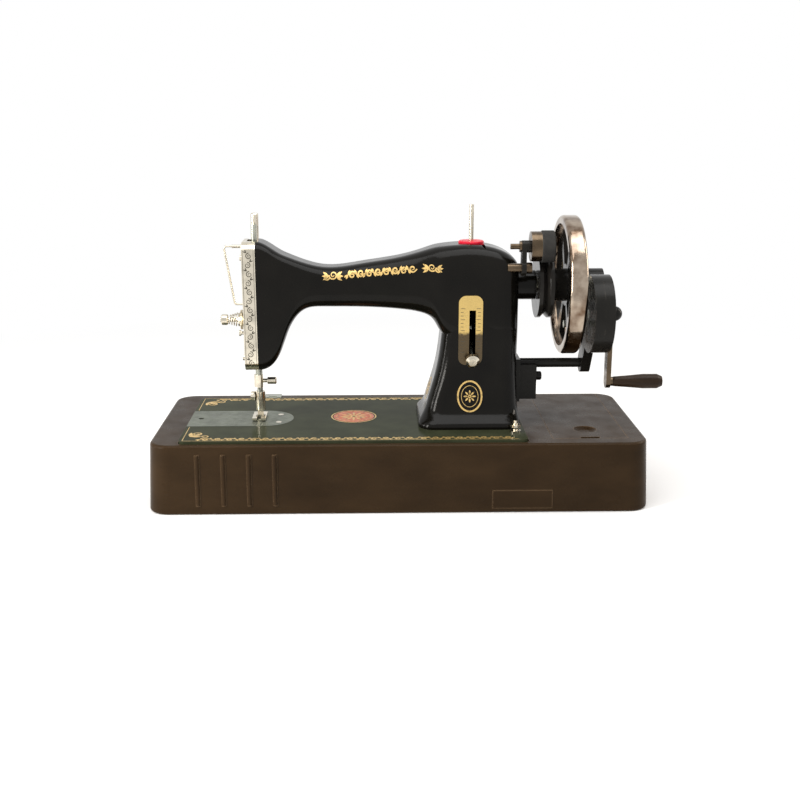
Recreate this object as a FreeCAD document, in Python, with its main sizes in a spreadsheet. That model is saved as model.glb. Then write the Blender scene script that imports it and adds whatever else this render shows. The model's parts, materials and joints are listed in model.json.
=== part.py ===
import FreeCAD, Part
import math
import operator
import os
import Sketcher
from FreeCAD import Placement, Rotation, Vector

# Hand-crank flat-bed sewing machine in a moulded base.
# Millimetres; +X right, +Y back, +Z up; the origin is on the ground, under the middle of the base.

SIZES = {
    # base
    "foot_radius": 8, "foot_seat": 2, "foot_inset": 30,
    "base_length": 538, "base_width": 216, "base_height": 76, "base_flare": 3,
    "base_wall": 3.5, "base_floor": 4.5, "base_deck": 3.5, "base_corner": 22, "base_round": 3,
    "partition_x": 147, "rib_first": -214, "rib_pitch": 27.3, "rib_radius": 2.2, "rib_length": 56,
    "panel_x": 131, "panel_length": 64, "panel_height": 20, "panel_proud": 0.8, "panel_low": 5,
    "ledge_length": 30, "ledge_inset": 14, "ledge_depth": 12,
    # sliding lid of the compartment
    "lid_left": 165, "lid_width": 81, "lid_front": -86, "lid_gap": 0.3,
    "tongue_wide": 4, "tongue_thick": 2, "rail_thick": 3, "dimple_radius": 12.5, "dimple_depth": 2.5,
    "dimple_back": 34, "thumb_length": 21, "thumb_depth": 5,
    # bed
    "head_y": -10, "bed_left": -234, "bed_length": 371, "bed_width": 178, "bed_thick": 6,
    "bed_proud": 3, "bed_skirt": 18, "bed_rib": 6, "bed_corner": 6, "bed_gap": 1,
    "hinge_back": 8, "hinge_drop": 5, "hinge_width": 20, "hinge_reach": 15, "leaf_thick": 2,
    "knuckle_radius": 3.5, "hinge_pin": 1.75, "hinge_left": -150, "hinge_right": 80,
    "tongue_half": 4.5, "hinge_tail": 16,
    # plates over the shuttle
    "plate_half": 31, "plate_thick": 2.5, "plate_seam": -178, "plate_centre": -149, "plate_gap": 0.15,
    "plate_ledge": 5, "needle_hole": 1.2, "slide_hole": 3,
    # shaft line and bars
    "shaft_height": 151, "shaft_radius": 6, "run_gap": 0.05, "needle_x": -156, "bar_radius": 3.2,
    "presser_back": 12, "lug_height": 14, "lug_end": -163, "lug_root": 12, "lug_skin": 5, "roof_lead": 6,
    "lug_front": 9, "lug_back": 20,
    # small screws
    "small_head": 3, "small_head_high": 1.8, "small_shank": 1.4, "small_shank_long": 4,
    # castings
    "cast_wall": 5, "neck_radius": 16, "neck_end": 151, "seat_depth": 0.5, "bush_wall": 3,
    "bulkhead_x": -101,
    "bulkhead_thick": 8, "bulkhead_half": 15, "face_screw_rise": 16, "face_screw_long": 8,
    "pressure_thread": 3.6, "stitch_pivot": 18, "stitch_pin": 3, "stitch_round": 8, "slot_side": 2,
    "knob_reach": 62, "knob_thick": 8, "lever_radius": 2.5, "badge_lean": 9, "winder_stud": 5,
    "winder_root": 117, "rod_root": 6, "lifter_pin": 3, "lifter_x": -143,
    # face plate, thread path
    "face_depth": 14.5, "face_wall": 1.5, "face_gap": 0.2,
    "take_z": 169, "take_back": 19.5, "take_reach": 36, "take_rise": 46, "take_fall": 38,
    "take_wide": 5, "take_thick": 2, "take_tip": 12, "take_pin": 2.5, "guard_wire": 1.1,
    "guard_out": 20, "guard_low": 133, "guard_high": 199, "guard_front": 13,
    "tension_z": 115, "tension_front": 8, "tension_stud": 2.5, "tension_long": 27, "disc_radius": 11,
    "disc_thick": 1.2, "spring_wire": 1.1, "spring_wide": 7.5, "spring_slim": 4.6, "spring_long": 10,
    "nut_radius": 6, "nut_long": 7.5, "guide_drop": 15,
    "take_tip_radius": 1.8, "take_spare": 6, "guide_pin": 1.8, "guide_long": 7,
    # needle, presser and feed
    "bar_rise": 17, "needle_shank": 9, "foot_screw_long": 5, "cam_radius": 6, "cam_reach": 11,
    "lifter_thick": 3, "lifter_long": 26, "cam_toe": 1.5,
    "clamp_z": 44, "clamp_radius": 5, "clamp_height": 14, "screw_head": 4, "screw_long": 15,
    "needle_long": 30, "needle_radius": 0.5, "foot_screw_z": 23, "foot_screw_radius": 5.5,
    "sole_long": 26, "sole_wide": 15, "sole_thick": 2.5, "presser_top": 178,
    "pressure_radius": 4.2, "pressure_rise": 28, "lifter_z": 88,
    "feed_back": 14, "feed_bar_wide": 8, "feed_bar_drop": 9, "feed_bar_thick": 8, "feed_travel": 2,
    "feed_guide_x": 0, "feed_pad": 4, "feed_eye": 2.2, "feed_proud": 0.8, "feed_long": 14, "feed_row": 2.4,
    "feed_gap": 4.4,
    # shuttle under the bed
    "hook_drop": 38, "hook_radius": 17, "race_wall": 5, "hook_shaft": 5, "bobbin_radius": 10.5,
    "bobbin_long": 11, "bobbin_bore": 3, "case_wall": 1.2, "case_long": 15, "hook_side": 4, "race_long": 12,
    "race_arm_half": 8, "hanger_left": -118, "hanger_right": 28, "hanger_thick": 12,
    "bolt_radius": 4, "bolt_long": 11, "bolt_head": 5, "bolt_inset": 12,
    # pillar fittings
    "stitch_x": 78, "stitch_low": 69, "stitch_long": 76, "stitch_wide": 26, "stitch_thick": 1.5,
    "slot_wide": 7, "slot_low": 71, "slot_long": 58, "stitch_knob": 7.5, "stitch_swing": 22,
    "badge_wide": 29, "badge_tall": 36, "badge_z": 34, "badge_thick": 1.2,
    "badge_sink": 1, "badge_flat": 0.1,
    "cover_radius": 27, "cover_z": 128, "cover_x": 88, "cover_thick": 2,
    "spool_x": 80, "spool_seat": 196, "spool_radius": 2.5, "spool_top": 239, "spool_disc": 14,
    "spool_disc_thick": 4, "spool_step": 0.4,
    # handwheel
    "wheel_radius": 76, "wheel_left": 178, "wheel_width": 19, "rim_thick": 9, "web_thick": 6,
    "hub_radius": 18, "belt_radius": 36, "belt_left": 152, "belt_width": 16,
    "knob_long": 7, "knob_shank": 4, "knob_thread": 12, "rim_round": 4, "window_margin": 5,
    "window_half": 23,
    "cam_drum_long": 12, "cam_drum_radius": 16, "crank_pin": 3, "crank_pin_long": 9,
    # crank drive
    "gear_module": 1.5, "pinion_teeth": 16, "gear_teeth": 48, "gear_thick": 8, "crank_front": 41,
    "case_left": 204, "case_width": 21, "case_wall_thick": 2.5, "case_play": 2, "crank_arm": 75,
    "crank_thick": 5, "stud_radius": 5, "rod_radius": 5.3, "rod_z": 63, "block_width": 19,
    "block_low": 24, "block_deep": 24, "driver_reach": 44, "driver_pin": 4,
    "grip_long": 54, "grip_radius": 8, "grip_pin": 3,
    "driver_hub": 8.5, "driver_gap": 1.5, "crank_half": 7, "ferrule_long": 3, "ferrule_radius": 5,
    "dome_radius": 8,
    "flange_thick": 5, "flange_margin": 4, "flange_lip": 2, "thumb_head": 7, "thumb_radius": 5,
    # bobbin winder
    "winder_wall": 3.5, "winder_boss": 9, "tyre_thick": 4, "spindle_long": 12, "stud_head_long": 6,
    "guide_inset": 11, "guide_back": 29, "guide_foot": 6, "guide_post": 2.5, "guide_high": 13,
    "guide_base": 2, "guide_neck": 6, "guide_disc": 1.2, "guide_groove": 0.2,
    "winder_front": 30, "winder_pivot": 174, "winder_rise": 23, "winder_radius": 17,
    "spindle_radius": 3, "winder_thick": 5,
}

# Sections along the arm: place along X, underside and top above the bed, half width, corner radius.
ARM = {
    "face": (-153, 60, 201, 27, 13), "chin": (-143, 62.5, 198, 27, 13),
    "cheek": (-132, 74, 191, 27, 13), "jaw": (-119, 106, 184.5, 26.5, 13),
    "nape": (-103, 126.5, 178.5, 26, 14), "slim": (-82, 130, 173.5, 26, 15),
    "middle": (-40, 129.5, 177, 26.5, 16), "reach": (5, 126.5, 184.5, 28, 18),
    "shoulder": (25, 123, 190, 30, 20), "elbow": (38, 116, 194, 32, 20),
    "crook": (46, 103, 195.5, 33.5, 20), "crown": (60, 92, 197, 34.5, 20),
    "back": (100, 92, 195, 34.5, 20), "rear": (120, 92, 187, 33.3, 19),
    "corner": (127, 92, 181, 28.4, 17), "tail": (131, 92, 173, 18, 10),
}
# Sections up the pillar: height above the bed, left and right ends, half width, corner radius.
PILLAR = {
    "sole": (0, 22, 134, 52, 18), "rand": (6, 22.5, 134, 51, 18), "instep": (13, 27, 133, 43, 18),
    "ankle": (26, 32, 132, 38, 18), "shin": (50, 39, 131, 35.5, 18), "knee": (96, 47, 131, 34.5, 18),
    "hip": (118, 50, 131, 34, 18),
}
SPOKES = 6
SPRING_TURNS = 4
FEED_TEETH = 8
BASE_RIBS = 4
STRAIGHT_DOWN = -90
ARM_WORDS = ("at", "low", "high", "half", "round")
PILLAR_WORDS = ("at", "left", "right", "half", "round")

OPERATIONS = {"+": operator.add, "-": operator.sub, "*": operator.mul, "/": operator.truediv}


class Size:
    """A number that also carries its formula over the cells of the sheet."""

    def __init__(self, value, text):
        self.value = float(value)
        self.text = text

    def __float__(self):
        return self.value

    def __neg__(self):
        return joined(0, "-", self)

    def __add__(self, other):
        return joined(self, "+", other)

    def __radd__(self, other):
        return joined(other, "+", self)

    def __sub__(self, other):
        return joined(self, "-", other)

    def __rsub__(self, other):
        return joined(other, "-", self)

    def __mul__(self, other):
        return joined(self, "*", other)

    def __rmul__(self, other):
        return joined(other, "*", self)

    def __truediv__(self, other):
        return joined(self, "/", other)


def sized(number):
    """A Size, from a Size or a plain number."""
    if isinstance(number, Size):
        return number
    return Size(number, f"({number})")


def joined(left, sign, right):
    """Two sizes joined by an arithmetic sign, as a number and as a formula."""
    left = sized(left)
    right = sized(right)
    value = OPERATIONS[sign](left.value, right.value)
    return Size(value, f"({left.text} {sign} {right.text})")


def root(size):
    """The square root of a size."""
    return Size(math.sqrt(size.value), f"sqrt({size.text})")


doc = FreeCAD.newDocument("sewing_machine")
sheet = doc.addObject("Spreadsheet::Sheet", "dims")
for table, words in ((ARM, ARM_WORDS), (PILLAR, PILLAR_WORDS)):
    for station, numbers in table.items():
        for word, number in zip(words, numbers):
            SIZES[f"{station}_{word}"] = number
for row, (alias, number) in enumerate(SIZES.items(), 1):
    sheet.set(f"A{row}", alias)
    sheet.set(f"B{row}", str(number))
    sheet.setAlias(f"B{row}", alias)
doc.recompute()


class Sheet:
    """The sheet's cells by name: d.bed_width is the size in the cell of that alias."""

    def __getattr__(self, alias):
        return Size(sheet.get(alias), f"dims.{alias}")


d = Sheet()
nodes = []

# Turns that lay the Z axis of a primitive along X or Y.
TURNS = {
    "z": Rotation(),
    "x": Rotation(Vector(0, 1, 0), 90),
    "y": Rotation(Vector(1, 0, 0), -90),
    "-x": Rotation(Vector(0, 1, 0), -90),
    "-y": Rotation(Vector(1, 0, 0), 90),
    "-z": Rotation(Vector(1, 0, 0), 180),
}


def bind(obj, **sizes):
    """Tie properties of an object to formulas over the sheet."""
    for prop, size in sizes.items():
        obj.setExpression(prop, sized(size).text)


def put(obj, x, y, z, turn=None):
    """Place an object, with its position tied to the sheet."""
    if turn is not None:
        obj.Placement = Placement(Vector(), turn)
    for axis, size in zip("xyz", (x, y, z)):
        obj.setExpression(f"Placement.Base.{axis}", sized(size).text)
    return obj


def node(obj, label):
    """Give an object the name of the node that it is."""
    obj.Label = label
    nodes.append(obj)
    return obj


def rod(radius, length, x, y, z, axis="z"):
    """A round bar from a point along an axis."""
    obj = doc.addObject("Part::Cylinder", "rod")
    bind(obj, Radius=radius, Height=length)
    return put(obj, x, y, z, TURNS[axis])


def block(x0, x1, y0, y1, z0, z1):
    """A box between two corners."""
    obj = doc.addObject("Part::Box", "block")
    bind(obj, Length=sized(x1) - x0, Width=sized(y1) - y0, Height=sized(z1) - z0)
    return put(obj, x0, y0, z0)


def fuse(*pieces):
    """Pieces joined to one solid."""
    obj = doc.addObject("Part::MultiFuse", "fuse")
    obj.Shapes = list(pieces)
    obj.Refine = True
    return obj


def cut(base, *tools):
    """A base with every tool taken away."""
    obj = doc.addObject("Part::Cut", "cut")
    obj.Base = base
    obj.Tool = tools[0] if len(tools) == 1 else fuse(*tools)
    obj.Refine = True
    return obj


def carve(base, tools):
    """A base with the tools taken away one after another."""
    for tool in tools:
        base = cut(base, tool)
    return base


def group(*pieces):
    """Separate solids that share one node."""
    obj = doc.addObject("Part::Compound", "group")
    obj.Links = list(pieces)
    return obj


def arc_centre(start, end, radius):
    """Centre of the shorter arc between two points; a negative radius runs clockwise."""
    middle = (start + end) * 0.5
    chord = end - start
    reach = math.sqrt(max(radius * radius - chord.Length ** 2 / 4, 0))
    left = Vector(-chord.y, chord.x, 0).normalize()
    return middle + left * math.copysign(reach, radius)


def outline(body, role, points, offset=0):
    """A closed sketch; a point with a third number is reached by an arc of that radius."""
    plane = [item for item in body.Origin.OriginFeatures if item.Role == role][0]
    sketch = body.newObject("Sketcher::SketchObject", "outline")
    sketch.AttachmentSupport = [(plane, "")]
    sketch.MapMode = "FlatFace"
    sketch.setExpression("AttachmentOffset.Base.z", sized(offset).text)
    spots = [Vector(float(point[0]), float(point[1]), 0) for point in points]
    count = len(points)
    starts = []
    for index in range(count):
        start = spots[index]
        end = spots[(index + 1) % count]
        goal = points[(index + 1) % count]
        if len(goal) == 2:
            sketch.addGeometry(Part.LineSegment(start, end), False)
            starts.append(1)
            continue
        radius = float(goal[2])
        centre = arc_centre(start, end, radius)
        first, last = (start, end) if radius > 0 else (end, start)
        angles = [math.atan2(spot.y - centre.y, spot.x - centre.x) for spot in (first, last)]
        circle = Part.Circle(centre, Vector(0, 0, 1), abs(radius))
        sketch.addGeometry(Part.ArcOfCircle(circle, angles[0], angles[1]), False)
        starts.append(1 if radius > 0 else 2)
    rules = []
    formulas = []
    for index in range(count):
        after = (index + 1) % count
        rules.append(Sketcher.Constraint("Coincident", index, 3 - starts[index], after, starts[after]))
        formulas.append(None)
    for index, point in enumerate(points):
        for kind, size in (("DistanceX", point[0]), ("DistanceY", point[1])):
            rules.append(Sketcher.Constraint(kind, -1, 1, index, starts[index], float(size)))
            formulas.append(sized(size).text)
        if len(point) == 3:
            rules.append(Sketcher.Constraint("Radius", index - 1 if index else count - 1,
                                             abs(float(point[2]))))
            formulas.append(sized(point[2] if float(point[2]) > 0 else -sized(point[2])).text)
    sketch.addConstraint(rules)
    for index, formula in enumerate(formulas):
        if formula and formula.startswith(("dims", "(", "sqrt")):
            sketch.setExpression(f"Constraints[{index}]", formula)
    return sketch


def rounded(u0, u1, v0, v1, radius):
    """A rectangle with round corners, counter-clockwise."""
    return [
        (u0 + radius, v0, radius), (u1 - radius, v0), (u1, v0 + radius, radius), (u1, v1 - radius),
        (u1 - radius, v1, radius), (u0 + radius, v1), (u0, v1 - radius, radius), (u0, v0 + radius),
    ]


def prism(role, points, start, length):
    """An outline padded along +Z (XY_Plane), +X (YZ_Plane) or +Y (XZ_Plane)."""
    body = doc.addObject("PartDesign::Body", "prism")
    pad = body.newObject("PartDesign::Pad", "pad")
    pad.Profile = outline(body, role, points)
    bind(pad, Length=length)
    pad.Reversed = role == "XZ_Plane"
    offset = {"XY_Plane": (0, 0, start), "YZ_Plane": (start, 0, 0), "XZ_Plane": (0, start, 0)}[role]
    return put(body, *offset)


def turned(axis, points, x=0, y=0, z=0):
    """An outline of (place along the axis, radius) turned round that axis."""
    body = doc.addObject("PartDesign::Body", "turned")
    role = {"x": "XY_Plane", "y": "YZ_Plane", "z": "XZ_Plane"}[axis]
    if axis == "z":
        points = [(point[1], point[0], *[-sized(item) for item in point[2:]]) for point in points]
    spin = body.newObject("PartDesign::Revolution", "spin")
    sketch = outline(body, role, points)
    spin.Profile = sketch
    spin.ReferenceAxis = (sketch, ["V_Axis" if axis == "z" else "H_Axis"])
    spin.Angle = 360
    return put(body, x, y, z)


def loft(role, sections, ruled=False):
    """A solid through outlines at their offsets along the plane's normal."""
    body = doc.addObject("PartDesign::Body", "loft")
    sketches = [outline(body, role, points, offset) for offset, points in sections]
    skin = body.newObject("PartDesign::AdditiveLoft", "skin")
    skin.Profile = sketches[0]
    skin.Sections = sketches[1:]
    skin.Ruled = ruled
    return body


def cosine(angle):
    """The cosine of a size in degrees."""
    return Size(math.cos(math.radians(angle.value)), f"cos({angle.text})")


def sine(angle):
    """The sine of a size in degrees."""
    return Size(math.sin(math.radians(angle.value)), f"sin({angle.text})")


def lean(obj, x, y, z, angle, corner=(0, 0)):
    """Turn an object about an X line through a point; corner is its own (Y, Z) from that line."""
    angle = sized(angle)
    turn = Rotation(Vector(1, 0, 0), angle.value)
    side = y + corner[0] * cosine(angle) - corner[1] * sine(angle)
    rise = z + corner[0] * sine(angle) + corner[1] * cosine(angle)
    return put(obj, x, side, rise, turn)


def bar(x0, x1, y, z, angle, start, end, width):
    """A flat bar that leaves an X line in the -Y direction, raised by an angle."""
    obj = doc.addObject("Part::Box", "bar")
    bind(obj, Length=sized(x1) - x0, Width=sized(end) - start, Height=width)
    return lean(obj, x0, y, z, -sized(angle), (-sized(end), -sized(width) / 2))


def screw(x, y, z, axis):
    """A small cheese-head screw: head outside the seat, shank into it; axis points inwards."""
    head = [(-d.small_head_high, 0), (d.small_shank_long, 0), (d.small_shank_long, d.small_shank),
            (0, d.small_shank), (0, d.small_head), (-d.small_head_high, d.small_head)]
    body = turned("x", head)
    return put(body, x, y, z, {"x": Rotation(), "-x": Rotation(Vector(0, 0, 1), 180),
                               "y": Rotation(Vector(0, 0, 1), 90), "-y": Rotation(Vector(0, 0, 1), -90),
                               "-z": Rotation(Vector(0, 1, 0), 90)}[axis])


def screw_hole(x, y, z, axis):
    """The hole that a small screw's shank runs in."""
    return rod(d.small_shank + d.run_gap, d.small_shank_long + 1, x, y, z, axis)


def tube(points, radius, bend):
    """A round wire through points, with its corners bent to a radius."""
    edges = []
    start = points[0]
    for before, corner, after in zip(points, points[1:], points[2:]):
        back = (before - corner).normalize()
        ahead = (after - corner).normalize()
        half = back.getAngle(ahead) / 2
        reach = bend / math.tan(half)
        middle = (back + ahead).normalize()
        centre = corner + middle * (bend / math.sin(half))
        first = corner + back * reach
        last = corner + ahead * reach
        edges.append(Part.LineSegment(start, first).toShape())
        edges.append(Part.Arc(first, centre - middle * bend, last).toShape())
        start = last
    edges.append(Part.LineSegment(start, points[-1]).toShape())
    heading = (points[1] - points[0]).normalize()
    ring = Part.Wire(Part.makeCircle(radius, points[0], heading))
    obj = doc.addObject("Part::Feature", "tube")
    obj.Shape = Part.Wire(edges).makePipeShell([ring], True, False)
    return obj


# Heights and ends that many pieces share.
base_low = sized(0)
base_top = base_low + d.base_height
bed_top = base_top + d.bed_proud
bed_right = d.bed_left + d.bed_length
bed_front = d.head_y - d.bed_width / 2
bed_back = d.head_y + d.bed_width / 2
bed_low = bed_top - d.bed_thick
shaft_z = bed_top + d.shaft_height
face_low = bed_top + d.face_low
face_high = bed_top + d.face_high
face_left = d.face_at - d.face_gap - d.face_depth

# Base: a drafted tub with a deck, a bay for the bed and a compartment.
top_x = d.base_length / 2 - d.base_flare
top_y = d.base_width / 2 - d.base_flare
inner_x = top_x - d.base_wall
inner_y = top_y - d.base_wall
floor_top = base_low + d.base_floor
deck_low = base_top - d.base_deck
lid_right = d.lid_left + d.lid_width
tongue_top = deck_low - d.lid_gap
tongue_low = tongue_top - d.tongue_thick
bay_right = d.partition_x
store_left = bay_right + d.base_wall
inner_round = d.base_corner - d.base_wall
outside = d.base_width
wall_lean = math.degrees(math.atan2(float(d.base_flare), float(d.base_height)))
hinge_y = bed_back + d.hinge_back
hinge_z = bed_top - d.hinge_drop
hinges = (d.hinge_left, d.hinge_right)


def tub_section(step, low):
    """A section of the tub where its edge rounds over; step runs from 0, the flat end, to 3."""
    angle = math.radians(30 * step)
    inset = d.base_round * (1 - math.sin(angle))
    rise = d.base_round * (1 - math.cos(angle))
    half_x, half_y, height = (d.base_length / 2, d.base_width / 2, base_low + rise) if low else (
        top_x, top_y, base_top - rise)
    corner = d.base_corner - inset
    return height, rounded(inset - half_x, half_x - inset, inset - half_y, half_y - inset, corner)


tub = loft("XY_Plane", [tub_section(step, True) for step in range(4)]
           + [tub_section(step, False) for step in (3, 2, 1, 0)], ruled=True)
bay = prism("XY_Plane", rounded(-inner_x, bay_right, -inner_y, inner_y, inner_round), floor_top,
            deck_low - floor_top)
store = prism("XY_Plane", rounded(store_left, inner_x, -inner_y, inner_y, inner_round), floor_top,
              deck_low - floor_top)
bed_hole = prism("XY_Plane", rounded(d.bed_left - d.bed_gap, bed_right + d.bed_gap, bed_front - d.bed_gap,
                                     bed_back + d.bed_gap, d.bed_corner + d.bed_gap),
                 deck_low - 1, d.base_deck + 2)
ledges = [block(left, left + d.ledge_length, -inner_y - 1, bed_front + d.ledge_depth, floor_top - 1,
                bed_top - d.bed_skirt)
          for left in (d.bed_left + d.ledge_inset, bed_right - d.ledge_inset - d.ledge_length)]
rails = [block(store_left - 1, d.lid_left - d.tongue_wide / 2, -inner_y + inner_round,
               inner_y - inner_round, tongue_low - d.rail_thick, tongue_low),
         block(lid_right + d.tongue_wide / 2, inner_x + 1, -inner_y + inner_round,
               inner_y - inner_round, tongue_low - d.rail_thick, tongue_low)]
front_low = -d.base_width / 2
ribs = [lean(rod(d.rib_radius, d.rib_length, 0, 0, 0), d.rib_first + d.rib_pitch * index, front_low,
             base_low, -wall_lean, (0, (d.base_height - d.rib_length) / 2)) for index in range(BASE_RIBS)]
panel = doc.addObject("Part::Box", "panel")
bind(panel, Length=d.panel_length, Width=d.panel_proud + 1, Height=d.panel_height)
lean(panel, d.panel_x - d.panel_length / 2, front_low, base_low, -wall_lean, (-d.panel_proud, d.panel_low))
lid_path = block(d.lid_left - d.lid_gap, lid_right + d.lid_gap, d.lid_front - d.lid_gap, outside,
                 tongue_low, base_top + 1)
tongue_path = block(d.lid_left - d.tongue_wide - d.lid_gap, lid_right + d.tongue_wide + d.lid_gap,
                    inner_y - inner_round, outside, tongue_low, deck_low)
notches = [block(x - d.hinge_width / 2 - d.lid_gap, x + d.hinge_width / 2 + d.lid_gap, bed_back,
                 hinge_y + d.knuckle_radius + d.lid_gap, deck_low - 1, base_top + 1) for x in hinges]
foot_x = d.base_length / 2 - d.foot_inset
foot_y = d.base_width / 2 - d.foot_inset
foot_spots = [(x, y) for x in (-foot_x, foot_x) for y in (-foot_y, foot_y)]
foot_seats = [rod(d.foot_radius, d.foot_seat, x, y, base_low) for x, y in foot_spots]
tub_solid = fuse(cut(tub, bay, store, bed_hole), *ledges, *rails, *ribs, panel)
node(cut(tub_solid, lid_path, tongue_path, *notches, *foot_seats), "base_tub")
node(group(*[rod(d.foot_radius, d.foot_seat, x, y, base_low) for x, y in foot_spots]), "base_feet")

lid_back = top_y - d.base_round
lid_plate = fuse(block(d.lid_left, lid_right, d.lid_front, lid_back, tongue_top, base_top),
                 block(d.lid_left - d.tongue_wide, lid_right + d.tongue_wide, d.lid_front, lid_back,
                       tongue_low, tongue_top))
lid_x = d.lid_left + d.lid_width / 2
dimple_y = d.lid_front + d.dimple_back
dimple = turned("z", [(base_top - d.dimple_depth, 0), (base_top + 1, 0), (base_top + 1, d.dimple_radius),
                      (base_top - d.dimple_depth / 4, d.dimple_radius),
                      (base_top - d.dimple_depth, d.dimple_radius * 0.7)], lid_x, dimple_y, 0)
thumb = block(lid_x - d.thumb_length / 2, lid_x + d.thumb_length / 2, d.lid_front - 1,
              d.lid_front + d.thumb_depth, tongue_top, base_top + 1)
node(cut(lid_plate, dimple, thumb), "base_lid")

# Hinges: leaves on the deck with their pins, tongues in the back of the bed.
leaves = []
tongues = []
for x in hinges:
    half = d.hinge_width / 2
    leaf = fuse(block(x - half, x + half, hinge_y, hinge_y + d.hinge_reach, base_top,
                      base_top + d.leaf_thick),
                rod(d.knuckle_radius, d.hinge_width, x - half, hinge_y, hinge_z, "x"))
    room = block(x - d.tongue_half - d.lid_gap, x + d.tongue_half + d.lid_gap,
                 hinge_y - d.knuckle_radius - 1,
                 hinge_y + d.knuckle_radius + d.lid_gap, hinge_z - d.knuckle_radius - 1,
                 base_top + d.leaf_thick + 1)
    pin = rod(d.hinge_pin, d.hinge_width, x - half, hinge_y, hinge_z, "x")
    leaves.append(fuse(cut(leaf, room), pin))
    tongue = fuse(block(x - d.tongue_half, x + d.tongue_half, bed_back - d.hinge_tail, hinge_y,
                        bed_low - d.knuckle_radius, bed_low),
                  rod(d.knuckle_radius, d.tongue_half * 2, x - d.tongue_half, hinge_y, hinge_z, "x"))
    tongues.append(cut(tongue, rod(d.hinge_pin + d.run_gap, d.hinge_width, x - half, hinge_y, hinge_z, "x")))
node(group(*leaves), "hinge_leaves")
node(group(*tongues), "hinge_tongues")

# Bed: a skirted plate with recesses for the plates and hangers for the works below.
needle_y = d.head_y
presser_y = d.head_y + d.presser_back
hook_z = bed_top - d.hook_drop
plate_low = bed_top - d.plate_thick
hollow_left = d.knee_left + d.cast_wall
hollow_right = d.knee_right - d.cast_wall * 2
hollow_half = d.hip_half - d.cast_wall * 1.6
hollow = rounded(hollow_left, hollow_right, d.head_y - hollow_half, d.head_y + hollow_half, d.hip_round / 2)


def plate_outline(left, gap):
    """A plate with a straight left end and a half-round right end."""
    half = d.plate_half + gap
    return [(left, d.head_y - half), (d.plate_centre, d.head_y - half),
            (d.plate_centre + half, d.head_y, half), (d.plate_centre, d.head_y + half, half),
            (left, d.head_y + half)]


bed_block = prism("XY_Plane", rounded(d.bed_left, bed_right, bed_front, bed_back, d.bed_corner),
                  bed_top - d.bed_skirt, d.bed_skirt)
bed_under = prism("XY_Plane", rounded(d.bed_left + d.bed_rib, bed_right - d.bed_rib, bed_front + d.bed_rib,
                                      bed_back - d.bed_rib, d.bed_corner / 2),
                  bed_top - d.bed_skirt - 1, d.bed_skirt - d.bed_thick + 1)
plate_seat = prism("XY_Plane", plate_outline(d.bed_left - 1, d.plate_gap), plate_low, d.plate_thick + 1)
well_half = d.plate_half - d.plate_ledge
well_right = d.needle_x + d.hook_radius + d.race_wall
well = block(d.bed_left + d.bed_rib + d.plate_ledge, well_right, d.head_y - well_half, d.head_y + well_half,
             bed_low - 1, bed_top)
bed_pass = prism("XY_Plane", hollow, bed_low - 1, d.bed_thick + 2)
slots = [block(x - d.tongue_half - d.plate_gap, x + d.tongue_half + d.plate_gap, bed_back - d.bed_rib - 1,
               bed_back + 1, bed_low - d.knuckle_radius, bed_low) for x in hinges]
bolt_spots = [(d.sole_left + d.bolt_inset, d.head_y - d.knee_half),
              (d.sole_left + d.bolt_inset, d.head_y + d.knee_half),
              (d.sole_right - d.bolt_inset, d.head_y - d.knee_half),
              (d.sole_right - d.bolt_inset, d.head_y + d.knee_half)]
bolt_holes = [rod(d.bolt_radius + d.run_gap, d.bolt_long + d.run_gap, x, y, bed_low, "z")
              for x, y in bolt_spots]
hanger_half = d.hook_shaft * 2
hangers = [block(x, x + d.hanger_thick, d.head_y - hanger_half, d.head_y + hanger_half, hook_z - hanger_half,
                 bed_low + 1) for x in (d.hanger_left, d.hanger_right)]
feed_y0 = d.head_y + d.feed_back
feed_y1 = feed_y0 + d.feed_bar_wide
feed_top = bed_top - d.feed_bar_drop
feed_low = feed_top - d.feed_bar_thick
feed_play = d.feed_travel + d.lid_gap
guide = cut(block(d.feed_guide_x, d.feed_guide_x + d.hanger_thick, feed_y0 - feed_play - d.race_wall,
                  feed_y1 + feed_play + d.race_wall, feed_low - d.race_wall, bed_low + 1),
            block(d.feed_guide_x - 1, d.feed_guide_x + d.hanger_thick + 1, feed_y0 - feed_play,
                  feed_y1 + feed_play, feed_low, feed_top + d.lid_gap))
shaft_bore = rod(d.hook_shaft + d.run_gap, d.bed_length, d.bed_left, d.head_y, hook_z, "x")
plate_screw_x = d.plate_centre + d.plate_half / 2
plate_screws = [(plate_screw_x, d.head_y - d.plate_half / 2), (plate_screw_x, d.head_y + d.plate_half / 2)]
bed_casting = fuse(cut(bed_block, bed_under, plate_seat, well, bed_pass, *slots), *hangers, guide)
node(cut(bed_casting, shaft_bore, *bolt_holes,
         *[screw_hole(x, y, plate_low, "-z") for x, y in plate_screws]), "bed")
bolts = [turned("z", [(bed_low - d.bolt_head, 0), (bed_low + d.bolt_long, 0),
                      (bed_low + d.bolt_long, d.bolt_radius),
                      (bed_low, d.bolt_radius), (bed_low, d.bolt_radius * 1.8),
                      (bed_low - d.bolt_head, d.bolt_radius * 1.8)], x, y, 0) for x, y in bolt_spots]
node(group(*bolts), "arm_bolts")

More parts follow.
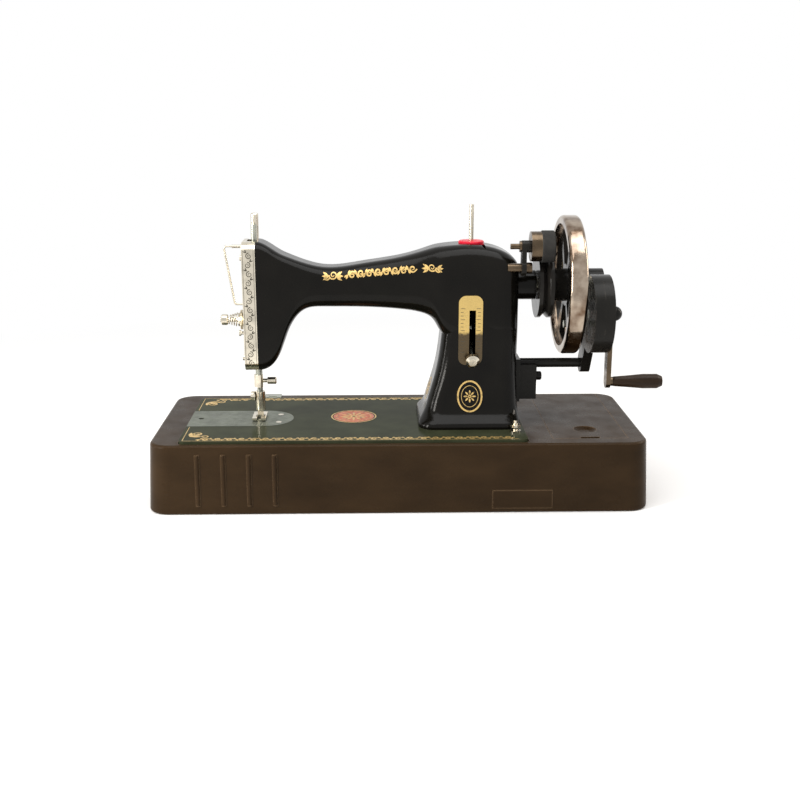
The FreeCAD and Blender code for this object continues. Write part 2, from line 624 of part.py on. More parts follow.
# Plates flush with the bed.
feed_rows = [d.needle_x - d.feed_gap, d.needle_x + d.feed_gap]
feed_slots = [block(x - d.feed_row / 2 - d.lid_gap, x + d.feed_row / 2 + d.lid_gap,
                    d.head_y - d.feed_long / 2 - feed_play, d.head_y + d.feed_long / 2 + feed_play,
                    plate_low - 1, bed_top + 1) for x in feed_rows]
needle_plate = prism("XY_Plane", plate_outline(d.plate_seam, 0), plate_low, d.plate_thick)
countersinks = [rod(d.small_head + d.plate_gap, d.small_head_high + 1, x, y,
                    bed_top - d.small_head_high, "z") for x, y in plate_screws]
plate_holes = [rod(d.small_shank + d.run_gap, d.plate_thick * 2, x, y, plate_low - 1, "z")
               for x, y in plate_screws]
node(cut(needle_plate, rod(d.needle_hole, d.plate_thick * 2, d.needle_x, needle_y, plate_low - 1),
         *feed_slots,
         *countersinks, *plate_holes), "needle_plate")
slide = prism("XY_Plane", [(d.bed_left, d.head_y - d.plate_half),
                           (d.plate_seam - d.plate_gap, d.head_y - d.plate_half),
                           (d.plate_seam - d.plate_gap, d.head_y + d.plate_half),
                           (d.bed_left, d.head_y + d.plate_half)],
              plate_low, d.plate_thick)
node(cut(slide, rod(d.slide_hole, d.plate_thick * 2, d.bed_left + d.slide_hole * 4, d.head_y,
                    plate_low - 1)),
     "slide_plate")

# Shuttle: race, oscillating hook on its shaft, bobbin case and bobbin.
race_in = d.hook_radius + d.lid_gap
race_out = race_in + d.race_wall
race_left = d.needle_x + d.hook_side
race_right = race_left + d.race_long
race_ring = turned("x", [(race_left, race_in), (race_right, race_in), (race_right, race_out),
                         (race_left, race_out)],
                   0, d.head_y, hook_z)
race_arm = block(race_right - d.race_wall, well_right + d.hanger_thick, d.head_y - d.race_arm_half,
                 d.head_y + d.race_arm_half, hook_z + race_in + 1, hook_z + race_out)
race_post = block(well_right, well_right + d.hanger_thick, d.head_y - d.race_arm_half,
                  d.head_y + d.race_arm_half, hook_z + race_in + 1, bed_low)
node(fuse(race_ring, race_arm, race_post), "hook_race")
hook_left = race_left + d.lid_gap
hook_right = hook_left + d.race_long / 2
post_end = d.needle_x - d.hook_side - d.case_long
hook = turned("x", [(post_end + d.case_wall / 4, 0), (d.hanger_right + d.hanger_thick + 2, 0),
                    (d.hanger_right + d.hanger_thick + 2, d.hook_shaft), (race_right, d.hook_shaft),
                    (race_right, d.hook_shaft * 1.6), (hook_right, d.hook_shaft * 1.6),
                    (hook_right, d.hook_radius), (hook_left, d.hook_radius), (hook_left, d.bobbin_bore),
                    (post_end + d.case_wall / 4, d.bobbin_bore)], 0, d.head_y, hook_z)
hook_gap = block(hook_left - 1, hook_right + 1, d.head_y, d.head_y + d.hook_radius, hook_z - d.hook_shaft,
                 hook_z + d.hook_shaft)
node(cut(hook, cut(hook_gap, rod(d.hook_shaft * 1.6, d.race_long * 2, hook_left - 2, d.head_y, hook_z,
                                 "x"))),
     "shuttle_hook")
case_in = d.bobbin_radius + d.lid_gap * 4
case_right = d.needle_x - d.hook_side
node(turned("x", [(post_end, d.bobbin_bore + d.run_gap), (post_end + d.case_wall, d.bobbin_bore + d.run_gap),
                  (post_end + d.case_wall, case_in), (case_right, case_in),
                  (case_right, case_in + d.case_wall),
                  (post_end, case_in + d.case_wall)], 0, d.head_y, hook_z), "bobbin_case")
bobbin_left = post_end + d.case_wall + d.lid_gap
bobbin_right = bobbin_left + d.bobbin_long
node(turned("x", [(bobbin_left, d.bobbin_bore + d.run_gap), (bobbin_right, d.bobbin_bore + d.run_gap),
                  (bobbin_right, d.bobbin_radius), (bobbin_right - 1, d.bobbin_radius),
                  (bobbin_right - 1, d.bobbin_bore * 1.7), (bobbin_left + 1, d.bobbin_bore * 1.7),
                  (bobbin_left + 1, d.bobbin_radius), (bobbin_left, d.bobbin_radius)], 0, d.head_y, hook_z),
     "bobbin")

# Feed: a bar in its guide carries the toothed dog up through the needle plate.
dog_half = d.feed_gap + d.feed_row
pad_low = feed_top - d.feed_pad
feed_eye = block(d.needle_x - d.feed_eye, d.needle_x + d.feed_eye, d.head_y - d.feed_eye - feed_play,
                 d.head_y + d.feed_eye + feed_play, pad_low - 1, plate_low)
node(cut(fuse(block(d.needle_x - dog_half, d.feed_guide_x + d.hanger_thick * 2, feed_y0, feed_y1, feed_low,
                    feed_top),
              block(d.needle_x - dog_half, d.needle_x + dog_half, d.head_y - d.feed_long, feed_y1, pad_low,
                    feed_top)),
         feed_eye), "feed_bar")
dog_top = plate_low - d.lid_gap * 2
rows = []
tooth_pitch = d.feed_long / FEED_TEETH
for x in feed_rows:
    rows.append(block(x - d.feed_row / 2, x + d.feed_row / 2, d.head_y - d.feed_long / 2,
                      d.head_y + d.feed_long / 2, dog_top - 1, bed_top))
    for step in range(FEED_TEETH):
        tooth = doc.addObject("Part::Wedge", "tooth")
        bind(tooth, Xmin=0, Ymin=0, Zmin=0, X2min=0, Z2min=0, Xmax=d.feed_row, Ymax=d.feed_proud,
             Zmax=tooth_pitch, X2max=d.feed_row, Z2max=tooth_pitch / 4)
        put(tooth, x + d.feed_row / 2, d.head_y - d.feed_long / 2 + tooth_pitch * step, bed_top,
            Rotation(Vector(0, 0, 1), 180) * Rotation(Vector(1, 0, 0), 90))
        rows.append(tooth)
dog = fuse(block(d.needle_x - dog_half, d.needle_x + dog_half, d.head_y - d.feed_long, feed_y1, feed_top,
                 dog_top),
           *rows)
node(cut(dog, block(d.needle_x - d.feed_eye, d.needle_x + d.feed_eye, d.head_y - d.feed_eye - feed_play,
                    d.head_y + d.feed_eye + feed_play, feed_top - 1, dog_top + 1)), "feed_dog")

# Arm casting: lofted arm and pillar, hollow, with bearings, lugs and seats.


def arm_section(name, inset=0):
    """The arm's section at a station, drawn in by a wall."""
    half = getattr(d, name + "_half") - inset
    return rounded(d.head_y - half, d.head_y + half, bed_top + getattr(d, name + "_low") + inset,
                   bed_top + getattr(d, name + "_high") - inset, getattr(d, name + "_round") - inset)


def pillar_section(name):
    """The pillar's section at a station."""
    half = getattr(d, name + "_half")
    return rounded(getattr(d, name + "_left"), getattr(d, name + "_right"), d.head_y - half, d.head_y + half,
                   getattr(d, name + "_round"))


arm_outer = loft("YZ_Plane", [(getattr(d, name + "_at"), arm_section(name)) for name in ARM])
pillar_outer = loft("XY_Plane", [(bed_top + getattr(d, name + "_at"),
                                  pillar_section(name)) for name in PILLAR])
hollow_stations = list(ARM)[:-2]
arm_inner = loft("YZ_Plane", [(getattr(d, name + "_at") - (1 if name == "face" else 0),
                               arm_section(name, d.cast_wall)) for name in hollow_stations])
roof = block(d.back_at - d.roof_lead, d.tail_at, d.head_y - d.sole_half, d.head_y + d.sole_half,
             bed_top + d.rear_high - d.cast_wall, bed_top + d.crown_high)
arm_inner = cut(arm_inner, roof)
pillar_inner = prism("XY_Plane", hollow, bed_top - 1, d.hip_at)
shell = cut(cut(fuse(arm_outer, pillar_outer), arm_inner), pillar_inner)

take_y = d.head_y + d.take_back
take_z = bed_top + d.take_z
lug_x = d.face_at + d.lug_root
low_lug = block(d.lug_end, lug_x, d.head_y - d.lug_front, d.head_y + d.lug_back, face_low + d.lug_skin,
                face_low + d.lug_height)
high_lug = block(d.lug_end, lug_x, d.head_y - d.lug_front, d.head_y + d.lug_back, face_high - d.lug_height,
                 face_high - d.lug_skin)
bulkhead = block(d.bulkhead_x, d.bulkhead_x + d.bulkhead_thick, d.head_y - d.nape_half + d.cast_wall,
                 d.head_y + d.nape_half - d.cast_wall, shaft_z - d.bulkhead_half, shaft_z + d.bulkhead_half)
neck = rod(d.neck_radius, d.neck_end - d.rear_at + 2, d.rear_at - 2, d.head_y, shaft_z, "x")
take_boss = block(d.face_at, lug_x, take_y - d.take_pin - 1, d.head_y + d.face_half - d.cast_wall / 2,
                  take_z - d.take_pin - 1, take_z + d.take_pin + 1)
take_left = face_left + d.face_wall + d.lid_gap
take_pin = rod(d.take_pin, d.face_at - take_left + 1, take_left, take_y, take_z, "x")
stitch_pivot_z = bed_top + d.slot_low + d.slot_long / 2
stitch_pivot_y = d.head_y + d.stitch_pivot
stitch_pin = rod(d.stitch_pin, hollow_right - hollow_left + 2, hollow_left - 1, stitch_pivot_y,
                 stitch_pivot_z, "x")

bush_out = d.shaft_radius + d.bush_wall
bush_bore = rod(bush_out + d.run_gap, d.bed_length, d.bulkhead_x - 1, d.head_y, shaft_z, "x")
bar_holes = [rod(d.bar_radius + d.run_gap, d.spool_top, d.needle_x, needle_y, face_low - 1),
             rod(d.bar_radius + d.run_gap, d.lug_height + 2, d.needle_x, presser_y, face_low - 1),
             rod(d.pressure_thread + d.run_gap, d.lug_height + 2, d.needle_x, presser_y,
                 face_high - d.lug_height - 1)]
stitch_seat_y = d.head_y - d.hip_half
stitch_high = bed_top + d.stitch_low + d.stitch_long
stitch_face = rounded(d.stitch_x - d.stitch_wide / 2, d.stitch_x + d.stitch_wide / 2, bed_top + d.stitch_low,
                      stitch_high, d.stitch_round)
slot_x = d.stitch_x + d.slot_side
stitch_slot = block(slot_x - d.slot_wide / 2, slot_x + d.slot_wide / 2, d.head_y - d.sole_half, d.head_y,
                    bed_top + d.slot_low, bed_top + d.slot_low + d.slot_long)
badge_half = d.badge_tall / 2
badge_face = rounded(-d.badge_wide / 2, d.badge_wide / 2, -badge_half, badge_half,
                     d.badge_wide / 2 - d.badge_flat)
badge_y = d.head_y - d.shin_half - d.badge_sink
badge_z = bed_top + d.badge_z


def badge_prism(length):
    """The badge's outline, laid on the slope of the pillar's front and padded outwards."""
    body = doc.addObject("PartDesign::Body", "oval")
    pad = body.newObject("PartDesign::Pad", "pad")
    pad.Profile = outline(body, "XZ_Plane", badge_face)
    bind(pad, Length=length)
    return put(body, d.stitch_x, badge_y, badge_z, Rotation(Vector(1, 0, 0), -float(d.badge_lean)))


cover_y = d.head_y + d.hip_half - d.seat_depth
cover_z = bed_top + d.cover_z
cover_screw = (d.cover_x, cover_y + d.cover_thick, cover_z - d.cover_radius + d.small_head * 2, "-y")
spool_seat = bed_top + d.spool_seat
winder_y = d.head_y - d.winder_front
winder_z = bed_top + d.winder_pivot
bracket_seat = d.knee_right - d.seat_depth
rod_z = bed_top + d.rod_z
block_low = bed_top + d.block_low
flange_half = d.block_deep / 2 + d.flange_margin
face_screw_y = d.head_y - d.face_half + d.cast_wall / 2
face_screws = [(face_left, face_screw_y, face_low + d.face_screw_rise),
               (face_left, face_screw_y, face_high - d.face_screw_rise)]
seats = [
    prism("XZ_Plane", stitch_face, d.head_y - d.sole_half, d.sole_half - d.hip_half),
    stitch_slot, badge_prism(d.sole_half),
    rod(d.cover_radius + d.plate_gap, d.sole_half, d.cover_x, cover_y, cover_z, "y"),
    rod(d.spool_disc + d.plate_gap, d.spool_top, d.spool_x, d.head_y, spool_seat),
    rod(d.spool_radius - d.spool_step + d.run_gap, d.cast_wall * 2, d.spool_x, d.head_y,
        spool_seat - d.cast_wall * 2),
    rod(d.winder_stud + d.run_gap, d.sole_half, d.winder_root, winder_y, winder_z, "x"),
    block(bracket_seat, d.neck_end, d.head_y - flange_half - d.plate_gap,
          d.head_y + flange_half + d.plate_gap,
          block_low - d.flange_lip - d.plate_gap, rod_z + d.rod_radius + d.flange_lip + d.plate_gap),
    rod(d.rod_radius + d.run_gap, d.rod_root, bracket_seat - d.rod_root + 1, d.head_y, rod_z, "x"),
    rod(d.lifter_pin + d.run_gap, d.sole_half, d.lifter_x, d.head_y + d.hook_shaft, bed_top + d.lifter_z,
        "y"),
    screw_hole(*cover_screw),
    *[rod(d.small_shank + d.run_gap, d.face_screw_long, d.face_at - 1, y, z, "x")
      for x, y, z in face_screws],
    *[rod(d.bolt_radius + d.run_gap, d.bolt_long + d.run_gap, x, y, bed_low) for x, y in bolt_spots],
]
solid_arm = fuse(shell, low_lug, high_lug, bulkhead, neck, take_boss, take_pin, stitch_pin)
node(carve(solid_arm, [bush_bore, *bar_holes, *seats]), "arm_casting")
bushes = [turned("x", [(start, d.shaft_radius + d.run_gap), (end, d.shaft_radius + d.run_gap),
                       (end, bush_out),
                       (start, bush_out)], 0, d.head_y, shaft_z)
          for start, end in ((d.bulkhead_x, d.bulkhead_x + d.bulkhead_thick), (d.rear_at - 2, d.neck_end))]
node(group(*bushes), "shaft_bushes")
cover_disc = rod(d.cover_radius, d.cover_thick, d.cover_x, cover_y, cover_z, "y")
node(cut(cover_disc, rod(d.small_shank + d.run_gap, d.cover_thick * 3, d.cover_x, cover_y - 1,
                         cover_screw[2], "y")), "back_cover")
node(badge_prism(d.badge_thick), "badge")
stitch_sheet = prism("XZ_Plane", stitch_face, stitch_seat_y - d.stitch_thick, d.stitch_thick)
node(cut(stitch_sheet, stitch_slot), "stitch_plate")

# Stitch lever, at rest at the bottom of its slot.
lever_turn = Rotation(Vector(1, 0, 0), float(d.stitch_swing))
knob_start = -d.knob_reach
arm_end = knob_start - d.knob_thick * 0.7
lever_arm = turned("y", [(arm_end, 0), (0, 0), (0, d.lever_radius), (arm_end, d.lever_radius)])
put(lever_arm, slot_x, stitch_pivot_y, stitch_pivot_z, lever_turn)
lever_hub = rod(d.stitch_pin * 2, d.slot_wide, slot_x - d.slot_wide / 2, stitch_pivot_y, stitch_pivot_z, "x")
node(cut(fuse(lever_arm, lever_hub), rod(d.stitch_pin + d.run_gap, d.slot_wide * 2, slot_x - d.slot_wide,
                                         stitch_pivot_y, stitch_pivot_z, "x")), "stitch_lever")
knob_end = knob_start - d.knob_thick
knob_bore = d.lever_radius + d.run_gap
knob = turned("y", [(knob_start, knob_bore), (knob_start, d.stitch_knob * 0.6),
                    (knob_start - 2, d.stitch_knob),
                    (knob_end + 2, d.stitch_knob), (knob_end, d.stitch_knob * 0.6), (knob_end, 0),
                    (arm_end - d.run_gap, 0), (arm_end - d.run_gap, knob_bore)])
node(put(knob, slot_x, stitch_pivot_y, stitch_pivot_z, lever_turn), "stitch_knob")

# Spool pin with its disc.
disc_top = spool_seat + d.spool_disc_thick
spool_root = d.spool_radius - d.spool_step
pin_top = bed_top + d.spool_top
node(turned("z", [(spool_seat - d.cast_wall, 0), (pin_top, 0), (pin_top, d.spool_radius),
                  (disc_top, d.spool_radius),
                  (disc_top, spool_root), (spool_seat - d.cast_wall, spool_root)], d.spool_x, d.head_y, 0),
                  "spool_pin")
node(turned("z", [(spool_seat, spool_root + d.run_gap), (spool_seat, d.spool_disc),
                  (disc_top - 1, d.spool_disc),
                  (disc_top, d.spool_disc - 1), (disc_top, spool_root + d.run_gap)], d.spool_x, d.head_y,
                  0), "spool_disc")

# Face plate: a pan over the open end of the head.
pan = prism("YZ_Plane", rounded(d.head_y - d.face_half, d.head_y + d.face_half, face_low, face_high,
                                d.face_round),
            face_left, d.face_depth)
pan_in = prism("YZ_Plane", rounded(d.head_y - d.face_half + d.face_wall,
                                   d.head_y + d.face_half - d.face_wall,
                                   face_low + d.face_wall, face_high - d.face_wall,
                                   d.face_round - d.face_wall),
               face_left + d.face_wall, d.face_depth)
lug_slots = [block(d.lug_end - d.lid_gap, d.face_at, d.head_y - d.lug_front - d.lid_gap,
                   d.head_y + d.lug_back + d.lid_gap,
                   low, low + d.face_wall * 3) for low in (face_low - d.face_wall,
                                                           face_high - d.face_wall * 2)]
take_sweep = doc.addObject("Part::Cylinder", "sweep")
bind(take_sweep, Radius=d.take_reach + d.take_wide, Height=d.face_wall * 3,
     Angle=d.take_rise + d.take_fall + d.take_spare * 2)
put(take_sweep, face_left - d.face_wall, take_y, take_z,
    Rotation(Vector(1, 0, 0), 180 - float(d.take_rise) - float(d.take_spare))
    * Rotation(Vector(1, 1, 1), 120))
take_slot = cut(take_sweep, rod(d.take_reach - d.take_wide, d.face_wall * 5, face_left - d.face_wall * 2,
                                take_y, take_z, "x"))
tension_y = d.head_y - d.tension_front
tension_z = bed_top + d.tension_z
guard_y = d.head_y - d.guard_front
guard_low = bed_top + d.guard_low
guard_high = bed_top + d.guard_high - d.face_wall * 2
guide_z = tension_z - d.guide_drop
pan_holes = [rod(d.tension_stud + d.run_gap, d.face_wall * 3, face_left - 1, tension_y, tension_z, "x"),
             rod(d.guide_pin + d.run_gap, d.face_wall * 3, face_left - 1, tension_y, guide_z, "x")]
pan_holes += [rod(d.guard_wire + d.run_gap, d.face_wall * 3, face_left - 1, guard_y, z, "x")
              for z in (guard_low, guard_high)]
pan_holes += [rod(d.small_shank + d.run_gap, d.face_depth + d.face_gap + 2, x - 1, y, z, "x")
              for x, y, z in face_screws]
node(cut(pan, pan_in, *lug_slots, take_slot, *pan_holes), "face_plate")

face_shank = d.face_gap + d.face_depth + d.face_screw_long / 2
long_screws = [put(turned("x", [(-d.small_head_high, 0), (face_shank, 0), (face_shank, d.small_shank),
                                (0, d.small_shank), (0, d.small_head), (-d.small_head_high, d.small_head)]),
                                x, y, z)
               for x, y, z in face_screws]

# Take-up lever on its pin, its wire guard and a thread guide.
take_right = take_left + d.take_thick
tip_y = take_y - d.take_reach * cosine(d.take_rise)
tip_z = take_z + d.take_reach * sine(d.take_rise)
lever = fuse(rod(d.take_wide, d.take_thick, take_left, take_y, take_z, "x"),
             bar(take_left, take_right, take_y, take_z, d.take_rise, 0, d.take_reach, d.take_wide),
             rod(d.take_tip_radius, d.take_tip + d.face_wall + d.take_thick, face_left - d.take_tip, tip_y,
                 tip_z, "x"))
node(cut(lever, rod(d.take_pin + d.run_gap, d.take_thick * 3, take_left - 1, take_y, take_z, "x")),
     "take_up_lever")
wire_root = float(face_left + d.face_wall)
wire_out = float(face_left - d.guard_out)
guard = tube([Vector(wire_root, float(guard_y), float(guard_high)),
              Vector(wire_out, float(guard_y), float(guard_high)),
              Vector(wire_out + float(d.guard_out) / 2, float(guard_y), float(guard_low)),
              Vector(wire_root, float(guard_y), float(guard_low))], float(d.guard_wire),
              float(d.guard_wire) * 2.5)
node(guard, "take_up_guard")
node(turned("x", [(face_left - d.guide_long, 0), (face_left + d.face_wall, 0),
                  (face_left + d.face_wall, d.guide_pin),
                  (face_left, d.guide_pin), (face_left, d.guide_pin * 1.8),
                  (face_left - 1, d.guide_pin * 1.8),
                  (face_left - 1, d.guide_pin), (face_left - d.guide_long + 2, d.guide_pin),
                  (face_left - d.guide_long + 2, d.guide_pin * 1.8),
                  (face_left - d.guide_long, d.guide_pin * 1.8)],
            0, tension_y, guide_z), "thread_guide")

# Thread tension: stud, discs, beehive spring and thumb nut.
stud_end = face_left - d.tension_long
stud_bore = d.tension_stud + d.run_gap
node(turned("x", [(stud_end, 0), (face_left + d.face_wall + 2, 0),
                  (face_left + d.face_wall + 2, d.tension_stud * 2),
                  (face_left + d.face_wall, d.tension_stud * 2), (face_left + d.face_wall, d.tension_stud),
                  (stud_end, d.tension_stud)], 0, tension_y, tension_z), "tension_stud")
discs = []
disc_right = face_left
for radius, thick in ((d.disc_radius * 0.75, d.disc_thick * 2), (d.disc_radius, d.disc_thick),
                      (d.disc_radius, d.disc_thick), (d.disc_radius * 0.7, d.disc_thick * 2)):
    discs.append(turned("x", [(disc_right - thick, stud_bore), (disc_right, stud_bore),
                              (disc_right, radius - 0.5),
                              (disc_right - thick / 2, radius), (disc_right - thick, radius - 0.5)],
                        0, tension_y, tension_z))
    disc_right = disc_right - thick
node(group(*discs), "tension_discs")
spring_right = disc_right - d.spring_wire / 2 - d.lid_gap / 3
spring_left = spring_right - d.spring_long


def spring_spot(turn):
    """A point of the beehive spring and its heading, from turns counted from the disc."""
    share = turn / SPRING_TURNS
    angle = 2 * math.pi * turn
    radius = float(d.spring_wide) + (float(d.spring_slim) - float(d.spring_wide)) * share
    slope = (float(d.spring_slim) - float(d.spring_wide)) / SPRING_TURNS
    spot = Vector(float(spring_right) - float(d.spring_long) * share, radius * math.cos(angle),
                  radius * math.sin(angle))
    heading = Vector(-float(d.spring_long) / SPRING_TURNS,
                     slope * math.cos(angle) - 2 * math.pi * radius * math.sin(angle),
                     slope * math.sin(angle) + 2 * math.pi * radius * math.cos(angle)).normalize()
    return spot, heading


def arc_from(start, heading, end):
    """The arc that leaves a point along a heading and ends at another point."""
    chord = end - start
    along = Vector(chord).normalize()
    side = (heading - along * heading.dot(along)).normalize()
    rise = chord.Length / 2 * math.tan(heading.getAngle(chord) / 2)
    return Part.Arc(start, (start + end) * 0.5 + side * rise, end).toShape()


def biarc(start, heading, end, goal):
    """Two arcs that meet smoothly between two points with given headings."""
    gap = end - start
    both = heading + goal
    spread = 2 * (1 - heading.dot(goal))
    reach = (math.sqrt(gap.dot(both) ** 2 + spread * gap.dot(gap)) - gap.dot(both)) / spread
    middle = (start + end + (heading - goal) * reach) * 0.5
    turn_in = (middle - start - heading * reach).normalize()
    return [arc_from(start, heading, middle), arc_from(middle, turn_in, end)]


quarters = [spring_spot(step / 4) for step in range(SPRING_TURNS * 4 + 1)]
spring_edges = []
for (start, heading), (end, goal) in zip(quarters, quarters[1:]):
    spring_edges += biarc(start, heading, end, goal)
spring_ring = Part.Wire(Part.makeCircle(float(d.spring_wire) / 2, quarters[0][0], quarters[0][1]))
spring = doc.addObject("Part::Feature", "coil")
spring.Shape = Part.Wire(spring_edges).makePipeShell([spring_ring], True, False)
spring.Placement = Placement(Vector(0, float(tension_y), float(tension_z)), Rotation())
steps = [spring_spot(step / 24)[0] for step in range(SPRING_TURNS * 24 + 1)]
gaps = [(a - b).Length for i, a in enumerate(steps) for b in steps[i + 18:]]
print("least gap of the spring to itself", round(min(gaps) - float(d.spring_wire), 2))
node(spring, "tension_spring")
nut_right = spring_left - d.spring_wire / 2 - d.lid_gap / 3
nut_left = nut_right - d.nut_long
node(turned("x", [(nut_left, stud_bore), (nut_right, stud_bore), (nut_right, d.nut_radius - 1),
                  (nut_right - 1, d.nut_radius), (nut_left + 1, d.nut_radius), (nut_left, d.nut_radius - 1)],
            0, tension_y, tension_z), "tension_nut")

# Needle bar, its clamp and screw, and the needle.
clamp_low = bed_top + d.clamp_z - d.clamp_height / 2
clamp_z = bed_top + d.clamp_z
shank_bore = d.needle_radius * 2 + d.run_gap
bar_solid = rod(d.bar_radius, face_high + d.bar_rise - clamp_low, d.needle_x, needle_y, clamp_low)
node(cut(bar_solid, rod(shank_bore, d.needle_shank, d.needle_x, needle_y, clamp_low - 1)), "needle_bar")
clamp_ring = cut(rod(d.clamp_radius, d.clamp_height, d.needle_x, needle_y, clamp_low),
                 rod(d.bar_radius + d.run_gap, d.clamp_height + 2, d.needle_x, needle_y, clamp_low - 1))
clamp_hole = rod(d.small_shank + d.run_gap, d.clamp_radius * 2, d.needle_x, needle_y, clamp_z, "x")
node(cut(clamp_ring, clamp_hole), "needle_clamp")
screw_left = d.needle_x + d.bar_radius + d.run_gap
head_left = d.needle_x + d.clamp_radius
node(turned("x", [(screw_left, 0), (head_left + d.screw_long, 0),
                  (head_left + d.screw_long, d.screw_head - 1),
                  (head_left + d.screw_long - 1, d.screw_head), (head_left + d.screw_long / 3, d.screw_head),
                  (head_left + d.screw_long / 3, d.small_shank * 1.6), (head_left, d.small_shank * 1.6),
                  (head_left, d.small_shank), (screw_left, d.small_shank)], 0, needle_y, clamp_z),
                  "clamp_screw")
needle_tip = clamp_low - d.needle_long
node(turned("z", [(needle_tip, 0), (needle_tip + 4, d.needle_radius), (clamp_low - 3, d.needle_radius),
                  (clamp_low - 1, d.needle_radius * 2),
                  (clamp_low - 1 + d.needle_shank, d.needle_radius * 2),
                  (clamp_low - 1 + d.needle_shank, 0)], d.needle_x, needle_y, 0), "needle")

# Presser bar with its lifting bracket, foot, thumb screw, pressure screw and lifter.
presser_low = bed_top + d.sole_thick * 4
presser_top = bed_top + d.presser_top
lifter_z = bed_top + d.lifter_z
bracket_low = lifter_z + d.cam_radius + d.lid_gap
presser = turned("z", [(presser_low, 0), (face_high + d.bar_rise / 2, 0),
                       (face_high + d.bar_rise / 2, d.guide_pin),
                       (presser_top, d.guide_pin), (presser_top, d.bar_radius), (presser_low, d.bar_radius)],
                 d.needle_x, presser_y, 0)
presser_lift = block(d.needle_x - d.bar_radius, d.lifter_x + d.cam_radius / 2, presser_y - d.bar_radius,
                     presser_y + d.bar_radius, bracket_low, bracket_low + d.cam_radius)
node(fuse(presser, presser_lift), "presser_bar")
shank_half = d.bar_radius + d.sole_thick
sole_front = d.head_y - d.sole_long / 2
foot_bore = d.bar_radius + d.run_gap
foot_top = bed_top + d.foot_screw_z + d.foot_screw_radius
sole_low = bed_top + d.feed_proud + d.lid_gap
sole = block(d.needle_x - d.sole_wide / 2, d.needle_x + d.sole_wide / 2, sole_front,
             presser_y + d.bar_radius,
             sole_low, sole_low + d.sole_thick)
toe_gap = block(d.needle_x - d.feed_eye, d.needle_x + d.feed_eye, sole_front - 1, d.head_y + d.feed_eye,
                sole_low - 1,
                sole_low + d.sole_thick + 1)
ankle = block(d.needle_x - d.bar_radius, d.needle_x + d.bar_radius, presser_y - d.bar_radius,
              presser_y + d.bar_radius, sole_low + d.sole_thick - 1, presser_low)
socket = cut(rod(shank_half, foot_top - presser_low, d.needle_x, presser_y, presser_low),
             rod(foot_bore, foot_top, d.needle_x, presser_y, presser_low))
socket_floor = rod(shank_half, d.sole_thick, d.needle_x, presser_y, presser_low - d.sole_thick)
foot_screw_z = bed_top + d.foot_screw_z
foot_hole = rod(d.small_shank + d.run_gap, shank_half * 2, d.needle_x, presser_y, foot_screw_z, "-x")
node(cut(fuse(cut(sole, toe_gap), ankle, socket, socket_floor), foot_hole), "presser_foot")
foot_head = d.needle_x - shank_half
foot_end = foot_head - d.foot_screw_long
node(turned("x", [(foot_end, 0), (d.needle_x - foot_bore, 0), (d.needle_x - foot_bore, d.small_shank),
                  (foot_head, d.small_shank), (foot_head, d.foot_screw_radius),
                  (foot_end + 1, d.foot_screw_radius),
                  (foot_end, d.foot_screw_radius - 1)], 0, presser_y, foot_screw_z), "foot_screw")
pressure_bore = d.guide_pin + d.run_gap
pressure_seat = face_high + d.lid_gap * 2
node(turned("z", [(face_high - d.lug_height, pressure_bore), (face_high + d.pressure_rise, pressure_bore),
                  (face_high + d.pressure_rise, d.pressure_radius - 1),
                  (face_high + d.pressure_rise - 1, d.pressure_radius), (pressure_seat, d.pressure_radius),
                  (pressure_seat, d.pressure_thread), (face_high - d.lug_height, d.pressure_thread)],
            d.needle_x, presser_y, 0), "pressure_screw")
cam_front = presser_y - d.bar_radius
lifter_face = d.head_y + d.cheek_half + d.lid_gap
node(fuse(rod(d.lifter_pin, lifter_face - cam_front, d.lifter_x, cam_front, lifter_z, "y"),
          rod(d.cam_radius, d.bar_radius * 2, d.lifter_x, cam_front, lifter_z, "y"),
          block(d.lifter_x, d.lifter_x + d.cam_reach, cam_front, cam_front + d.bar_radius * 2,
                lifter_z - d.cam_toe, lifter_z + d.cam_toe),
          rod(d.cam_radius, d.lifter_thick, d.lifter_x, lifter_face, lifter_z, "y"),
          block(d.lifter_x - d.cam_radius / 2, d.lifter_x + d.cam_radius / 2, lifter_face,
                lifter_face + d.lifter_thick,
                lifter_z - d.lifter_long, lifter_z)), "lifter_lever")

# Arm shaft with its needle crank.
cam_left = d.cheek_at - d.cam_drum_long / 2
cam_right = cam_left + d.cam_drum_long
wheel_right = d.wheel_left + d.wheel_width
hub_right = wheel_right - d.knob_long
node(turned("x", [(cam_left, 0), (hub_right - d.knob_thread, 0),
                  (hub_right - d.knob_thread, d.knob_shank + d.run_gap),
                  (hub_right, d.knob_shank + d.run_gap), (hub_right, d.shaft_radius),
                  (cam_left, d.shaft_radius)],
            0, d.head_y, shaft_z), "arm_shaft")
cam_disc = turned("x", [(cam_left, d.shaft_radius + d.run_gap), (cam_right, d.shaft_radius + d.run_gap),
                        (cam_right, d.cam_drum_radius), (cam_left, d.cam_drum_radius)], 0, d.head_y, shaft_z)
node(fuse(cam_disc, rod(d.crank_pin, d.crank_pin_long + 1, cam_left - d.crank_pin_long, d.head_y,
                        shaft_z + d.cam_drum_radius - d.crank_pin - 1, "x")), "needle_crank")

